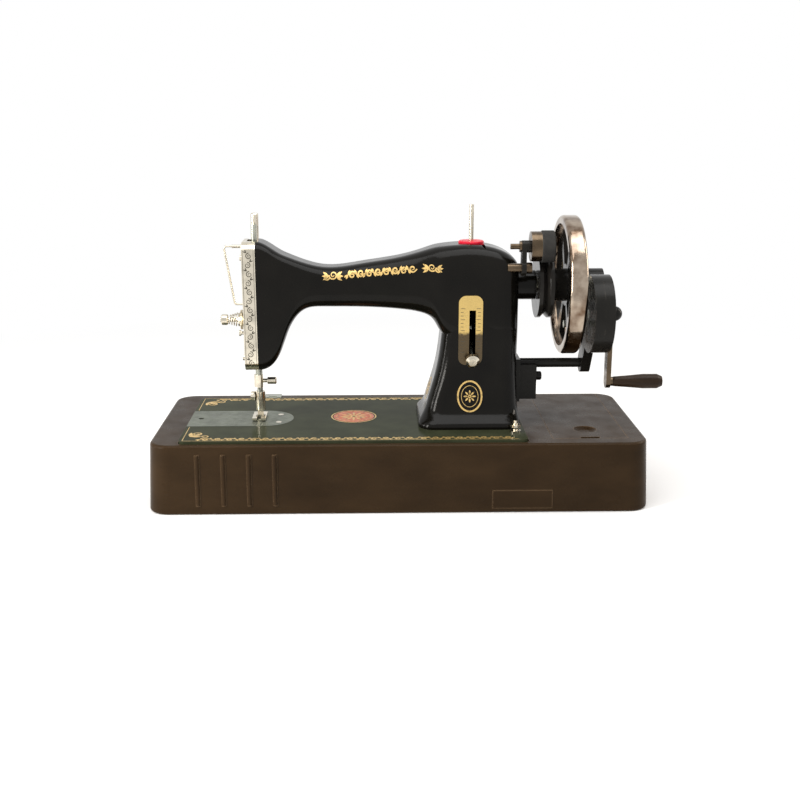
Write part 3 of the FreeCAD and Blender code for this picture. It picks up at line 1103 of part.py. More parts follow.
# Handwheel: belt pulley, hub, spoked web and rim, turned in one piece.
web_left = d.wheel_left + (d.wheel_width - d.web_thick) / 2
web_right = web_left + d.web_thick
rim_in = d.wheel_radius - d.rim_thick
belt_right = d.belt_left + d.belt_width
belt_mid = d.belt_left + d.belt_width / 2
groove = d.belt_width / 4
wheel = turned("x", [
    (d.belt_left, d.shaft_radius + d.run_gap), (hub_right, d.shaft_radius + d.run_gap),
    (hub_right, d.hub_radius),
    (web_right, d.hub_radius), (web_right, rim_in), (wheel_right, rim_in),
    (wheel_right, d.wheel_radius - d.rim_round),
    (wheel_right - d.rim_round, d.wheel_radius, d.rim_round), (d.wheel_left + d.rim_round, d.wheel_radius),
    (d.wheel_left, d.wheel_radius - d.rim_round, d.rim_round), (d.wheel_left, rim_in), (web_left, rim_in),
    (web_left, d.hub_radius), (belt_right, d.hub_radius), (belt_right, d.belt_radius),
    (belt_mid + groove, d.belt_radius), (belt_mid, d.belt_radius - groove),
    (belt_mid - groove, d.belt_radius),
    (d.belt_left, d.belt_radius)], 0, d.head_y, shaft_z)
window_in = d.hub_radius + d.window_margin
window_out = rim_in - d.window_margin
window_side = cosine(d.window_half)
window_rise = sine(d.window_half)
pocket = wheel.newObject("PartDesign::Pocket", "window")
pocket.Profile = outline(wheel, "YZ_Plane", [
    (-(window_in * window_rise), window_in * window_side),
    (window_in * window_rise, window_in * window_side, -window_in),
    (window_out * window_rise, window_out * window_side),
    (-(window_out * window_rise), window_out * window_side, window_out),
], web_left - 1)
bind(pocket, Length=d.web_thick + 2)
pocket.Reversed = True
windows = wheel.newObject("PartDesign::PolarPattern", "windows")
windows.Originals = [pocket]
windows.Axis = ([item for item in wheel.Origin.OriginFeatures if item.Role == "X_Axis"][0], [""])
windows.Angle = 360
windows.Occurrences = SPOKES
wheel.Tip = windows
node(wheel, "handwheel")
node(turned("x", [(hub_right - d.knob_thread, 0), (wheel_right, 0), (wheel_right, d.hub_radius - 3),
                  (wheel_right - 2, d.hub_radius - 1), (hub_right, d.hub_radius - 1),
                  (hub_right, d.knob_shank),
                  (hub_right - d.knob_thread, d.knob_shank)], 0, d.head_y, shaft_z), "stop_motion_knob")

# Crank drive: case on a bracket rod, gear pair, driver arm, crank and grip.
crank_y = d.head_y - d.crank_front
pinion_pitch = d.gear_module * d.pinion_teeth / 2
gear_pitch = d.gear_module * d.gear_teeth / 2
centres = pinion_pitch + gear_pitch
crank_z = shaft_z - root(centres * centres - d.crank_front * d.crank_front)
mesh_angle = math.degrees(math.atan2(float(crank_z - shaft_z), float(crank_y - d.head_y)))
case_right = d.case_left + d.case_width
case_split = d.case_left + d.case_width / 2
gear_left = d.case_left + d.case_wall_thick + d.case_play
gear_right = gear_left + d.gear_thick
gear_room = gear_pitch + d.gear_module + d.case_play
pinion_room = pinion_pitch + d.gear_module + d.case_play


def case_block(x0, x1, grow):
    """The outline of the case round both gears, between two planes."""
    return fuse(rod(gear_room + grow, x1 - x0, x0, crank_y, crank_z, "x"),
                rod(pinion_room + grow, x1 - x0, x0, d.head_y, shaft_z, "x"))


def toothed(teeth, pitch, left, right, bore, y, z, turn):
    """A spur gear with straight-flanked teeth; turn sets the angle of its first tooth."""
    root_radius = pitch - d.gear_module * 1.25
    body = turned("x", [(left, bore), (right, bore), (right, root_radius), (left, root_radius)], 0, y, z)
    pad = body.newObject("PartDesign::Pad", "tooth")
    half_base = d.gear_module * 0.95
    half_tip = d.gear_module * 0.35
    pad.Profile = outline(body, "YZ_Plane", [
        (root_radius - 0.5, -half_base), (pitch + d.gear_module, -half_tip),
        (pitch + d.gear_module, half_tip),
        (root_radius - 0.5, half_base)], left)
    bind(pad, Length=right - left)
    pattern = body.newObject("PartDesign::PolarPattern", "teeth")
    pattern.Originals = [pad]
    pattern.Axis = ([item for item in body.Origin.OriginFeatures if item.Role == "X_Axis"][0], [""])
    pattern.Angle = 360
    pattern.setExpression("Occurrences", teeth.text)
    body.Tip = pattern
    return put(body, 0, y, z, Rotation(Vector(1, 0, 0), turn))


neck_angle = math.degrees(math.atan2(float(crank_z - rod_z), float(d.head_y - crank_y)))
neck_reach = root((d.head_y - crank_y) * (d.head_y - crank_y) + (crank_z - rod_z) * (crank_z - rod_z))
neck_bar = doc.addObject("Part::Box", "neck")
bind(neck_bar, Length=case_split - d.case_left, Width=neck_reach - gear_room, Height=d.rod_radius * 4)
lean(neck_bar, d.case_left, crank_y, crank_z, -neck_angle, (gear_room, -d.rod_radius * 2))
neck_eye = rod(d.rod_radius * 2, case_split - d.case_left, d.case_left, d.head_y, rod_z, "x")
case_shell = cut(fuse(case_block(d.case_left, case_split, d.case_wall_thick), neck_bar, neck_eye),
                 case_block(d.case_left + d.case_wall_thick, case_split + 1, 0))
node(cut(case_shell, rod(d.rod_radius + d.run_gap, d.case_width, d.case_left - 1, d.head_y, rod_z, "x"),
         rod(d.stud_radius + d.run_gap, d.case_width, d.case_left - 1, crank_y, crank_z, "x"),
         rod(d.driver_hub + d.lid_gap, d.case_width, d.case_left - 1, d.head_y, shaft_z, "x")), "gear_case")
case_cover = cut(case_block(case_split, case_right, d.case_wall_thick),
                 case_block(case_split - 1, case_right - d.case_wall_thick, 0))
pinion_stud = rod(d.stud_radius, case_right - gear_left - 1, gear_left, d.head_y, shaft_z, "x")
node(cut(fuse(case_cover, pinion_stud), rod(d.stud_radius + d.run_gap, d.case_width, case_split, crank_y,
                                            crank_z, "x")),
     "gear_case_cover")
big_gear = toothed(d.gear_teeth, gear_pitch, gear_left, gear_right, d.stud_radius - 1, crank_y, crank_z,
                   mesh_angle + 180)
crank_left = case_right + d.lid_gap
crank_right = crank_left + d.crank_thick
gear_stud = rod(d.stud_radius, crank_right - d.case_left, d.case_left, crank_y, crank_z, "x")
node(fuse(big_gear, gear_stud), "crank_gear")
half_tooth = 180 / float(d.pinion_teeth)
small_gear = toothed(d.pinion_teeth, pinion_pitch, gear_left, gear_right, d.stud_radius + d.run_gap,
                     d.head_y, shaft_z,
                     mesh_angle + half_tooth)
driver_left = wheel_right + d.driver_gap
driver_right = d.case_left - d.driver_gap
driver_hub = rod(d.driver_hub, gear_left - driver_left, driver_left, d.head_y, shaft_z, "x")
driver_arm = bar(driver_left, driver_right, d.head_y, shaft_z, STRAIGHT_DOWN, 0, d.driver_reach,
                 d.driver_pin * 2)
driver_pin = rod(d.driver_pin, driver_left - web_left + 1, web_left, d.head_y, shaft_z - d.driver_reach, "x")
node(fuse(small_gear, driver_hub, driver_arm, driver_pin), "drive_pinion")
grip_z = crank_z - d.crank_arm
arm_bar = block(crank_left, crank_right, crank_y - d.crank_half, crank_y + d.crank_half, grip_z, crank_z)
grip_left = crank_right + d.ferrule_long
grip_right = grip_left + d.grip_long
crank = fuse(arm_bar, rod(d.crank_half * 1.4, d.crank_thick, crank_left, crank_y, crank_z, "x"),
             rod(d.crank_half, d.crank_thick, crank_left, crank_y, grip_z, "x"),
             rod(d.ferrule_radius, d.ferrule_long - d.lid_gap, crank_right, crank_y, grip_z, "x"),
             rod(d.grip_pin, d.grip_long + d.ferrule_long, crank_right, crank_y, grip_z, "x"))
node(cut(crank, rod(d.stud_radius + d.run_gap, d.crank_thick * 2, crank_left - 1, crank_y, crank_z, "x")),
     "crank_arm")
node(turned("x", [(crank_right, 0), (crank_right, d.dome_radius), (crank_right + 2, d.dome_radius),
                  (crank_right + 2 + d.dome_radius, 0, -d.dome_radius)], 0, crank_y, crank_z), "crank_nut")
grip_bore = d.grip_pin + d.run_gap
node(turned("x", [(grip_left, grip_bore), (grip_right, grip_bore), (grip_right, d.grip_radius * 0.7),
                  (grip_right - d.grip_long / 10, d.grip_radius),
                  (grip_left + d.grip_long * 0.62, d.grip_radius),
                  (grip_left + d.grip_long / 4, d.grip_radius * 0.78), (grip_left + 2, d.grip_radius * 0.68),
                  (grip_left, d.grip_radius * 0.62)], 0, crank_y, grip_z), "hand_grip")
block_left = bracket_seat + d.flange_thick
block_right = block_left + d.block_width
node(cut(fuse(block(bracket_seat, block_left, d.head_y - flange_half, d.head_y + flange_half,
                    block_low - d.flange_lip, rod_z + d.rod_radius + d.flange_lip),
              block(block_left - 1, block_right, d.head_y - d.block_deep / 2, d.head_y + d.block_deep / 2,
                    block_low,
                    rod_z),
              rod(d.rod_radius, case_split - bracket_seat + d.rod_root - 1, bracket_seat - d.rod_root + 1,
                  d.head_y,
                  rod_z, "x")),
         rod(d.small_shank + d.run_gap, d.block_width, block_left, d.head_y, block_low + d.block_deep, "x")),
     "crank_bracket")
node(turned("x", [(block_right - d.block_width / 2, 0), (block_right + d.thumb_head, 0),
                  (block_right + d.thumb_head, d.thumb_radius - 1),
                  (block_right + d.thumb_head - 1, d.thumb_radius),
                  (block_right, d.thumb_radius), (block_right, d.small_shank),
                  (block_right - d.block_width / 2, d.small_shank)], 0, d.head_y, block_low + d.block_deep),
                  "bracket_screw")

# Bobbin winder: stud, swinging frame, spindle with pulley, and rubber tyre.
spindle_z = winder_z + d.winder_rise
frame_left = d.tail_at + d.lid_gap * 2
frame_right = frame_left + d.winder_thick
stud_head = frame_right + d.lid_gap
node(turned("x", [(d.winder_root, 0), (stud_head + d.stud_head_long, 0),
                  (stud_head + d.stud_head_long, d.winder_stud + 1),
                  (stud_head, d.winder_stud + 1), (stud_head, d.winder_stud),
                  (d.winder_root, d.winder_stud)],
            0, winder_y, winder_z), "winder_stud")
frame_half = d.winder_stud + d.winder_wall
boss_half = d.spindle_radius + d.winder_wall
winder_frame = fuse(rod(frame_half, d.winder_thick, frame_left, winder_y, winder_z, "x"),
                    block(frame_left, frame_right, winder_y - boss_half, winder_y + boss_half, winder_z,
                          spindle_z),
                    rod(boss_half, d.winder_boss, frame_left, winder_y, spindle_z, "x"))
node(cut(winder_frame, rod(d.winder_stud + d.run_gap, d.winder_boss, frame_left - 1, winder_y, winder_z,
                           "x"),
         rod(d.spindle_radius + d.run_gap, d.winder_boss * 2, frame_left - 1, winder_y, spindle_z, "x")),
         "winder_frame")
drum_left = frame_left + d.winder_boss + d.lid_gap
drum_right = d.belt_left + d.belt_width
tyre_left = d.belt_left
tyre_in = d.winder_radius - d.tyre_thick
spindle_end = frame_left - d.spindle_long
node(turned("x", [(spindle_end, 0), (drum_right, 0), (drum_right, tyre_in - 2), (drum_right - 2, tyre_in),
                  (tyre_left, tyre_in), (tyre_left, d.winder_radius - 1), (drum_left, d.winder_radius - 1),
                  (drum_left, d.spindle_radius), (frame_left - d.lid_gap, d.spindle_radius),
                  (frame_left - d.lid_gap, d.spindle_radius * 2),
                  (frame_left - d.lid_gap - 2, d.spindle_radius * 2),
                  (frame_left - d.lid_gap - 2, d.spindle_radius), (spindle_end, d.spindle_radius)],
            0, winder_y, spindle_z), "winder_spindle")
node(turned("x", [(tyre_left, tyre_in + d.run_gap), (drum_right - 2, tyre_in + d.run_gap),
                  (drum_right - 2, d.winder_radius - 1),
                  (drum_right - 3, d.winder_radius), (tyre_left + 1, d.winder_radius),
                  (tyre_left, d.winder_radius - 1)],
            0, winder_y, spindle_z), "winder_tyre")
guide_x = bed_right - d.guide_inset
guide_y = bed_front + d.guide_back
guide_step = bed_top + d.guide_base
disc_low = bed_top + d.guide_neck
groove_low = disc_low + d.guide_disc
groove_high = groove_low + d.guide_groove * 2
disc_high = groove_high + d.guide_disc
node(turned("z", [(bed_top, 0), (bed_top, d.guide_foot), (guide_step, d.guide_foot),
                  (guide_step, d.guide_post),
                  (disc_low, d.guide_post), (disc_low, d.guide_foot), (groove_low, d.guide_foot),
                  (groove_low + d.guide_groove, d.guide_post), (groove_high, d.guide_foot),
                  (disc_high, d.guide_foot), (disc_high, d.guide_post),
                  (bed_top + d.guide_high, d.guide_post), (bed_top + d.guide_high, 0)],
            guide_x, guide_y, 0), "winder_guide")

# Small screws: face plate, needle plate, back cover.
plate_screw_set = [screw(x, y, bed_top - d.small_head_high, "-z") for x, y in plate_screws]
node(group(*long_screws, *plate_screw_set, screw(*cover_screw)), "small_screws")

doc.recompute()
for obj in doc.Objects:
    if "Invalid" in obj.State or "Error" in obj.State:
        raise RuntimeError(f"{obj.Label} did not build")
for obj in nodes:
    if obj.Shape.isNull() or not obj.Shape.isValid():
        raise RuntimeError(f"{obj.Label} has no sound shape")
os.makedirs("parts", exist_ok=True)
for obj in nodes:
    obj.Shape.exportStep(f"parts/{obj.Label}.step")
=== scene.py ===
"""Looks of a hand-crank sewing machine: finishes, gilt ornament, floor, light and camera."""

import json
import math

import bpy
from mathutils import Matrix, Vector
from mathutils.bvhtree import BVHTree

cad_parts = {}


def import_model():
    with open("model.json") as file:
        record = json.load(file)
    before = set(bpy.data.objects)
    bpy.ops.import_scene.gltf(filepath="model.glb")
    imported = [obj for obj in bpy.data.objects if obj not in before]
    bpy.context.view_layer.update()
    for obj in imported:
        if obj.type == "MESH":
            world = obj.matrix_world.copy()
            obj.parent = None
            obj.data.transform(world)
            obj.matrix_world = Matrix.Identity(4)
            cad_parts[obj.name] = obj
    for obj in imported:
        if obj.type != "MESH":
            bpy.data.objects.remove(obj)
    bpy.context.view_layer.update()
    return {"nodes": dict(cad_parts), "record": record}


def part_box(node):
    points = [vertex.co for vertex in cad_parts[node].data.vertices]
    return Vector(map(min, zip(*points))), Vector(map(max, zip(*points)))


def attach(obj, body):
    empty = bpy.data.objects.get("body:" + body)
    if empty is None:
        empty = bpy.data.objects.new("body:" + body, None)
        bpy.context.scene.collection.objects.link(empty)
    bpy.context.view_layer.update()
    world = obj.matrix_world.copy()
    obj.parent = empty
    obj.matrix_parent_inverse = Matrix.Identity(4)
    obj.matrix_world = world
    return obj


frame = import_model()
nodes = frame["nodes"]
MM = 0.001
# The colour sockets of a Mix node: its two inputs and its output.
MIX_FIRST, MIX_SECOND, MIX_RESULT = 6, 7, 2
# How far a rounded normal leaves the flat one on a worn edge, as a cosine: fully, and not at all.
WORN_FULLY, NOT_WORN = 0.82, 0.97
GLOSS = "Specular IOR Level"


def shaded(colour, factor):
    """A colour, darker or lighter by a factor."""
    return tuple(min(1.0, part * factor) for part in colour)


class Finish:
    """A procedural material on one Principled shader, laid out in the piece's own coordinates."""

    def __init__(self, name, colour, roughness, metallic=0.0):
        self.material = bpy.data.materials.new(name)
        self.material.use_nodes = True
        self.tree = self.material.node_tree
        self.shader = self.tree.nodes["Principled BSDF"]
        self.set("Base Color", (*colour, 1))
        self.set("Roughness", roughness)
        self.set("Metallic", metallic)
        self.place = self.add("ShaderNodeTexCoord").outputs["Object"]

    def set(self, socket, value):
        """Give one of the shader's sockets a value that is the same all over."""
        self.shader.inputs[socket].default_value = value

    def add(self, kind, **settings):
        """A new node with these settings."""
        node = self.tree.nodes.new(kind)
        for key, value in settings.items():
            setattr(node, key, value)
        return node

    def link(self, source, node, socket):
        """Run an output into a node's socket."""
        self.tree.links.new(source, node.inputs[socket])

    def feed(self, source, socket):
        """Run an output into one of the shader's sockets."""
        self.link(source, self.shader, socket)

    def noise(self, scale, stretch=(1, 1, 1), detail=4):
        """Noise of this many cells per metre, squeezed along an axis by stretch."""
        mapping = self.add("ShaderNodeMapping")
        mapping.inputs["Scale"].default_value = stretch
        self.link(self.place, mapping, "Vector")
        texture = self.add("ShaderNodeTexNoise")
        texture.inputs["Scale"].default_value = scale
        texture.inputs["Detail"].default_value = detail
        self.link(mapping.outputs["Vector"], texture, "Vector")
        return texture.outputs["Fac"]

    def spread(self, source, low, high, from_low=0.3, from_high=0.7):
        """An output, taken from its own range to the range from low to high."""
        node = self.add("ShaderNodeMapRange")
        limits = {"From Min": from_low, "From Max": from_high, "To Min": low, "To Max": high}
        for key, value in limits.items():
            node.inputs[key].default_value = value
        self.link(source, node, "Value")
        return node.outputs["Result"]

    def tint(self, factor, first, second):
        """A colour between first and second. Each is a colour or an output."""
        node = self.add("ShaderNodeMix", data_type="RGBA")
        self.link(factor, node, "Factor")
        for socket, value in ((node.inputs[MIX_FIRST], first), (node.inputs[MIX_SECOND], second)):
            if isinstance(value, tuple):
                socket.default_value = (*value, 1)
            else:
                self.tree.links.new(value, socket)
        return node.outputs[MIX_RESULT]

    def math(self, operation, first, second=0.0):
        """Arithmetic on numbers or outputs."""
        node = self.add("ShaderNodeMath", operation=operation)
        for socket, value in zip(node.inputs, (first, second)):
            if isinstance(value, (int, float)):
                socket.default_value = value
            else:
                self.tree.links.new(value, socket)
        return node.outputs[0]

    def axes(self):
        """The piece's own X, Y and Z."""
        parts = self.add("ShaderNodeSeparateXYZ")
        self.link(self.place, parts, "Vector")
        return parts.outputs

    def worn(self, reach=1.2 * MM):
        """1 along the edges, where a rounded normal leaves the surface's own, and 0 elsewhere."""
        rounded = self.add("ShaderNodeBevel", samples=4)
        rounded.inputs["Radius"].default_value = reach
        same = self.add("ShaderNodeVectorMath", operation="DOT_PRODUCT")
        self.link(rounded.outputs["Normal"], same, 0)
        self.link(self.add("ShaderNodeNewGeometry").outputs["True Normal"], same, 1)
        return self.spread(same.outputs["Value"], 1, 0, WORN_FULLY, NOT_WORN)

    def bump(self, source, depth):
        """Relief of this depth on the surface."""
        node = self.add("ShaderNodeBump")
        node.inputs["Distance"].default_value = depth
        self.link(source, node, "Height")
        self.feed(node.outputs["Normal"], "Normal")
        return self


def enamel(name, colour, worn_colour, roughness):
    """Glossy enamel with a soft orange peel, smears in its gloss and thin places on its edges."""
    clouds, chips, smears, peel = 30, 90, 55, 420
    finish = Finish(name, colour, roughness)
    finish.set(GLOSS, 0.12)
    cloudy = finish.tint(finish.spread(finish.noise(clouds), 0, 1), colour, shaded(colour, 1.6))
    thin = finish.math("MULTIPLY", finish.worn(), finish.spread(finish.noise(chips), 0, 0.7, 0.45, 0.7))
    finish.feed(finish.tint(thin, cloudy, worn_colour), "Base Color")
    finish.feed(finish.spread(finish.noise(smears), roughness * 0.7, roughness * 1.5), "Roughness")
    return finish.bump(finish.noise(peel), 0.06 * MM)


def plated(name, colour, roughness, grain=(1, 1, 1)):
    """Bare or plated metal with fine polishing lines, dull patches and brighter edges."""
    stains, polish, scratches = 70, 160, 700
    finish = Finish(name, colour, roughness, metallic=1.0)
    patches = finish.spread(finish.noise(stains), 0, 1, 0.4, 0.75)
    patched = finish.tint(patches, colour, shaded(colour, 0.62))
    finish.feed(finish.tint(finish.worn(), patched, shaded(colour, 1.2)), "Base Color")
    finish.feed(finish.spread(finish.noise(polish, grain), roughness * 0.6, roughness * 1.6), "Roughness")
    return finish.bump(finish.noise(scratches, grain), 0.03 * MM)


def moulded(name, colour, roughness):
    """Old brown moulding: faintly mottled, and rubbed paler along its edges."""
    clouds, smears, pores = 14, 40, 900
    rubbed_colour = (0.20, 0.13, 0.075)
    finish = Finish(name, colour, roughness)
    finish.set(GLOSS, 0.06)
    mottle = finish.spread(finish.noise(clouds, (1, 1, 2.5)), 0, 1)
    mottled = finish.tint(mottle, colour, shaded(colour, 0.62))
    rubbed = finish.math("MULTIPLY", finish.worn(2 * MM), 0.5)
    finish.feed(finish.tint(rubbed, mottled, rubbed_colour), "Base Color")
    finish.feed(finish.spread(finish.noise(smears), roughness * 0.75, roughness * 1.35), "Roughness")
    return finish.bump(finish.noise(pores), 0.08 * MM)


def rubber():
    """Dull black rubber, greyed in places."""
    patches, pores = 120, 1500
    fresh, greyed = (0.014, 0.014, 0.014), (0.045, 0.043, 0.04)
    finish = Finish("rubber", (0.02, 0.02, 0.02), 0.7)
    finish.set(GLOSS, 0.1)
    finish.feed(finish.tint(finish.noise(patches), fresh, greyed), "Base Color")
    return finish.bump(finish.noise(pores), 0.1 * MM)


def varnished():
    """Dark turned wood, with its grain along the handle."""
    fibres, smears = 60, 90
    along_handle = (0.12, 1.6, 1.6)
    pale, dark = (0.045, 0.026, 0.013), (0.013, 0.008, 0.005)
    finish = Finish("varnished", (0.03, 0.018, 0.01), 0.3)
    finish.set(GLOSS, 0.12)
    grain = finish.noise(fibres, along_handle, detail=8)
    finish.feed(finish.tint(finish.spread(grain, 0, 1), pale, dark), "Base Color")
    finish.feed(finish.spread(finish.noise(smears), 0.2, 0.42), "Roughness")
    return finish.bump(grain, 0.12 * MM)


def wheel_finish(centre, rim_start):
    """Black enamel inside, plating on the rim: parted by the distance from the shaft. The plating is
    darkened and coppered as a painted dark reflection, with stains.
    """
    stains, clouds, smears, peel = 60, 40, 80, 500
    edge = 0.4 * MM
    # Both plating colours are darkened and warm: a painted dark, coppery reflection; the noise patches
    # between them are stains.
    bright, stain_and_dark_reflection = (0.40, 0.33, 0.26), (0.13, 0.08, 0.05)
    deep, faded = (0.010, 0.009, 0.008), (0.022, 0.02, 0.017)
    finish = Finish("wheel", (0.02, 0.02, 0.02), 0.15)
    finish.set(GLOSS, 0.12)
    axes = finish.axes()
    across = finish.math("SUBTRACT", axes["Y"], centre.y)
    upward = finish.math("SUBTRACT", axes["Z"], centre.z)
    squares = [finish.math("MULTIPLY", part, part) for part in (across, upward)]
    radius = finish.math("SQRT", finish.math("ADD", *squares))
    rim = finish.spread(radius, 0, 1, rim_start, rim_start + edge)
    plating = finish.tint(finish.spread(finish.noise(stains), 0, 1, 0.4, 0.7), bright, stain_and_dark_reflection)
    paint = finish.tint(finish.spread(finish.noise(clouds), 0, 1), deep, faded)
    finish.feed(finish.tint(rim, paint, plating), "Base Color")
    finish.feed(rim, "Metallic")
    finish.feed(finish.spread(finish.noise(smears), 0.07, 0.2), "Roughness")
    return finish.bump(finish.noise(peel), 0.04 * MM)


# Polishing lines: close together along Z, or along Y and Z.
UPRIGHT = (1, 1, 8)
LENGTHWAYS = (1, 8, 8)


def shade_painted_below(name, upper, lower, height, roughness):
    """Metal that is bright above a height, with painted shade below it."""
    patches, polish = 150, 160
    blur = 2 * MM
    finish = Finish(name, upper, roughness, metallic=1.0)
    ragged = finish.math("ADD", finish.axes()["Z"], finish.spread(finish.noise(patches), -blur, blur))
    rise = finish.spread(ragged, 0, 1, height - blur, height + blur)
    finish.feed(finish.tint(rise, lower, upper), "Base Color")
    finish.feed(finish.spread(finish.noise(polish, UPRIGHT), roughness * 0.6, roughness * 1.6), "Roughness")
    return finish


def gilt(name, colour, metallic):
    """A gold or coloured transfer, dulled and rubbed through in specks."""
    specks, smears = 350, 220
    finish = Finish(name, colour, 0.38, metallic=metallic)
    rubbed = finish.spread(finish.noise(specks), 0, 0.75, 0.52, 0.68)
    finish.feed(finish.tint(rubbed, colour, shaded(colour, 0.22)), "Base Color")
    finish.feed(finish.spread(finish.noise(smears), 0.28, 0.5), "Roughness")
    return finish


def engraved():
    """Dirt that has settled in cut lines."""
    grime = 300
    dark, dusty = (0.03, 0.027, 0.02), (0.10, 0.09, 0.07)
    finish = Finish("engraved", (0.05, 0.045, 0.035), 0.5, metallic=0.6)
    finish.feed(finish.tint(finish.noise(grime), dark, dusty), "Base Color")
    return finish


wheel_low, wheel_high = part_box("handwheel")
wheel_centre = (wheel_low + wheel_high) / 2
RIM_DEPTH = 12 * MM
rim_start = (wheel_high.z - wheel_low.z) / 2 - RIM_DEPTH

BRASS, BRASS_ROUGHNESS = (0.66, 0.47, 0.17), 0.26
black = enamel("japan_black", (0.0035, 0.0031, 0.0024), (0.03, 0.024, 0.018), 0.14)
bed_black = enamel("bed_black", (0.026, 0.029, 0.016), (0.06, 0.05, 0.035), 0.12)
bed_black.set(GLOSS, 0.012)
FINISHES = {
    "base_brown": moulded("base_brown", (0.034, 0.0195, 0.0088), 0.30),
    "rubber": rubber(),
    "japan_black": black,
    "gear_black": enamel("gear_black", (0.008, 0.0075, 0.0065), (0.07, 0.06, 0.05), 0.22),
    "nickel": plated("nickel", (0.72, 0.66, 0.54), 0.16),
    "steel": plated("steel", (0.42, 0.43, 0.37), 0.3, LENGTHWAYS),
    "brass": plated("brass", BRASS, BRASS_ROUGHNESS, UPRIGHT),
    "red": enamel("red", (0.48, 0.008, 0.025), (0.6, 0.1, 0.1), 0.25),
    "grip_brown": varnished(),
}
plate_steel = plated("plate_steel", (0.185, 0.2, 0.16), 0.42, LENGTHWAYS)
bronze = plated("bronze", (0.11, 0.08, 0.052), 0.25)
scale_low, scale_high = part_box("stitch_plate")
# The stitch plate's brass is darker below a height: painted shade on its lower part.
SHADE_SHARE, BRASS_PAINTED_SHADE = 0.46, (0.10, 0.075, 0.045)
painted_shade_top = scale_low.z + (scale_high.z - scale_low.z) * SHADE_SHARE
stitch_brass_painted_shade = shade_painted_below("stitch_brass_painted_shade", BRASS, BRASS_PAINTED_SHADE, painted_shade_top, BRASS_ROUGHNESS)
# Nodes that don't take the finish of their slot.
OWN_FINISH = {
    "handwheel": wheel_finish(wheel_centre, rim_start), "bed": bed_black, "badge": black,
    "slide_plate": plate_steel, "needle_plate": plate_steel, "stitch_plate": stitch_brass_painted_shade,
    "winder_spindle": bronze, "winder_stud": bronze, "crank_arm": bronze,
    "crank_nut": FINISHES["gear_black"], "bracket_screw": FINISHES["gear_black"],
}
for part in frame["record"]["subparts"]:
    name = part["node"]
    finish = OWN_FINISH.get(name) or FINISHES[part["material_slot"]]
    nodes[name].data.materials.clear()
    nodes[name].data.materials.append(finish.material)

# Edges of the castings and mouldings catch the light, as worn and painted ones do.
EDGES = {
    "base_tub": 0.9, "base_lid": 0.9, "handwheel": 2.5, "bed": 0.5, "gear_case": 0.6, "gear_case_cover": 0.6,
    "crank_arm": 0.5, "crank_bracket": 0.5, "face_plate": 0.4, "slide_plate": 0.3, "needle_plate": 0.3,
}
SHARP = math.radians(40)
for name, width in EDGES.items():
    bevel = nodes[name].modifiers.new("edges", "BEVEL")
    bevel.width = width * MM
    bevel.segments = 3
    bevel.limit_method = "ANGLE"
    bevel.angle_limit = SHARP
    bevel.harden_normals = True


# Where rays toward a surface start, in millimetres: outside the whole part.
OUTSIDE = 400


def surface(name, toward):
    """A place function: (u, v) in millimetres on the node's face that a ray toward that axis meets."""
    mesh = nodes[name].data
    tree = BVHTree.FromPolygons([v.co for v in mesh.vertices], [p.vertices for p in mesh.polygons])
    rays = {"y": lambda u, v: (Vector((u, -OUTSIDE, v)) * MM, Vector((0, 1, 0))),
            "x": lambda u, v: (Vector((-OUTSIDE, u, v)) * MM, Vector((1, 0, 0))),
            "z": lambda u, v: (Vector((u, v, OUTSIDE)) * MM, Vector((0, 0, -1)))}
    return lambda u, v: tree.ray_cast(*rays[toward](u, v))


# Ornament: its height over the surface, its thickness, the longest side of its quads, and its weld.
LIFT = 0.08 * MM
LEAF = 0.05 * MM
LONGEST = 6 * MM
WELD = 0.01 * MM


def level(first, second):
    """Whether a quad lies on one surface, and doesn't drop into a slot or over an edge."""
    corners = [*first, *reversed(second)]
    return all((a - b).length < LONGEST for a, b in zip(corners, corners[1:] + corners[:1]))


def ornament(name, place, lines, finish):
    """Thin strips along lines of (u, v, half width), laid on a surface of the head."""
    points, faces = [], []
    for line in lines:
        rows = []
        for i, (u, v, half) in enumerate(line):
            before, after = line[max(i - 1, 0)], line[min(i + 1, len(line) - 1)]
            along = Vector((after[0] - before[0], after[1] - before[1])).normalized()
            row = []
            for side in (-half, half):
                hit, normal, _, _ = place(u - along.y * side, v + along.x * side)
                if hit is not None:
                    row.append(hit + normal * LIFT)
            rows.append(row)
        for first, second in zip(rows, rows[1:]):
            if len(first) == len(second) == 2 and level(first, second):
                start = len(points)
                points += [*first, *reversed(second)]
                faces.append((start, start + 1, start + 2, start + 3))
    mesh = bpy.data.meshes.new(name)
    mesh.from_pydata(points, [], faces)
    piece = bpy.data.objects.new(name, mesh)
    bpy.context.scene.collection.objects.link(piece)
    weld = piece.modifiers.new("join", "WELD")
    weld.merge_threshold = WELD
    solid = piece.modifiers.new("leaf", "SOLIDIFY")
    solid.thickness = LEAF
    solid.offset = 0
    mesh.materials.append(finish.material)
    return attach(piece, "head")


# The angle, in radians, that points along v.
UPWARD = math.pi / 2


def straight(u0, v0, u1, v1, half, steps):
    """A straight line of even width."""
    return [(u0 + (u1 - u0) * i / steps, v0 + (v1 - v0) * i / steps, half) for i in range(steps + 1)]


def ring(u, v, radius, half, squash=1.0, steps=48):
    """A circle, or an oval where it is squashed or stretched along v."""
    turn = 2 * math.pi / steps
    return [(u + radius * math.cos(i * turn), v + squash * radius * math.sin(i * turn), half)
            for i in range(steps + 1)]


def curl(u, v, radius, start, turns, half, steps=28):
    """A spiral from its outer end inwards, getting thinner."""
    drawn_in, thinned = 0.82, 0.55
    line = []
    for i in range(steps + 1):
        t = i / steps
        angle = start + 2 * math.pi * turns * t
        r = radius * (1 - drawn_in * t)
        line.append((u + r * math.cos(angle), v + r * math.sin(angle), half * (1 - thinned * t)))
    return line


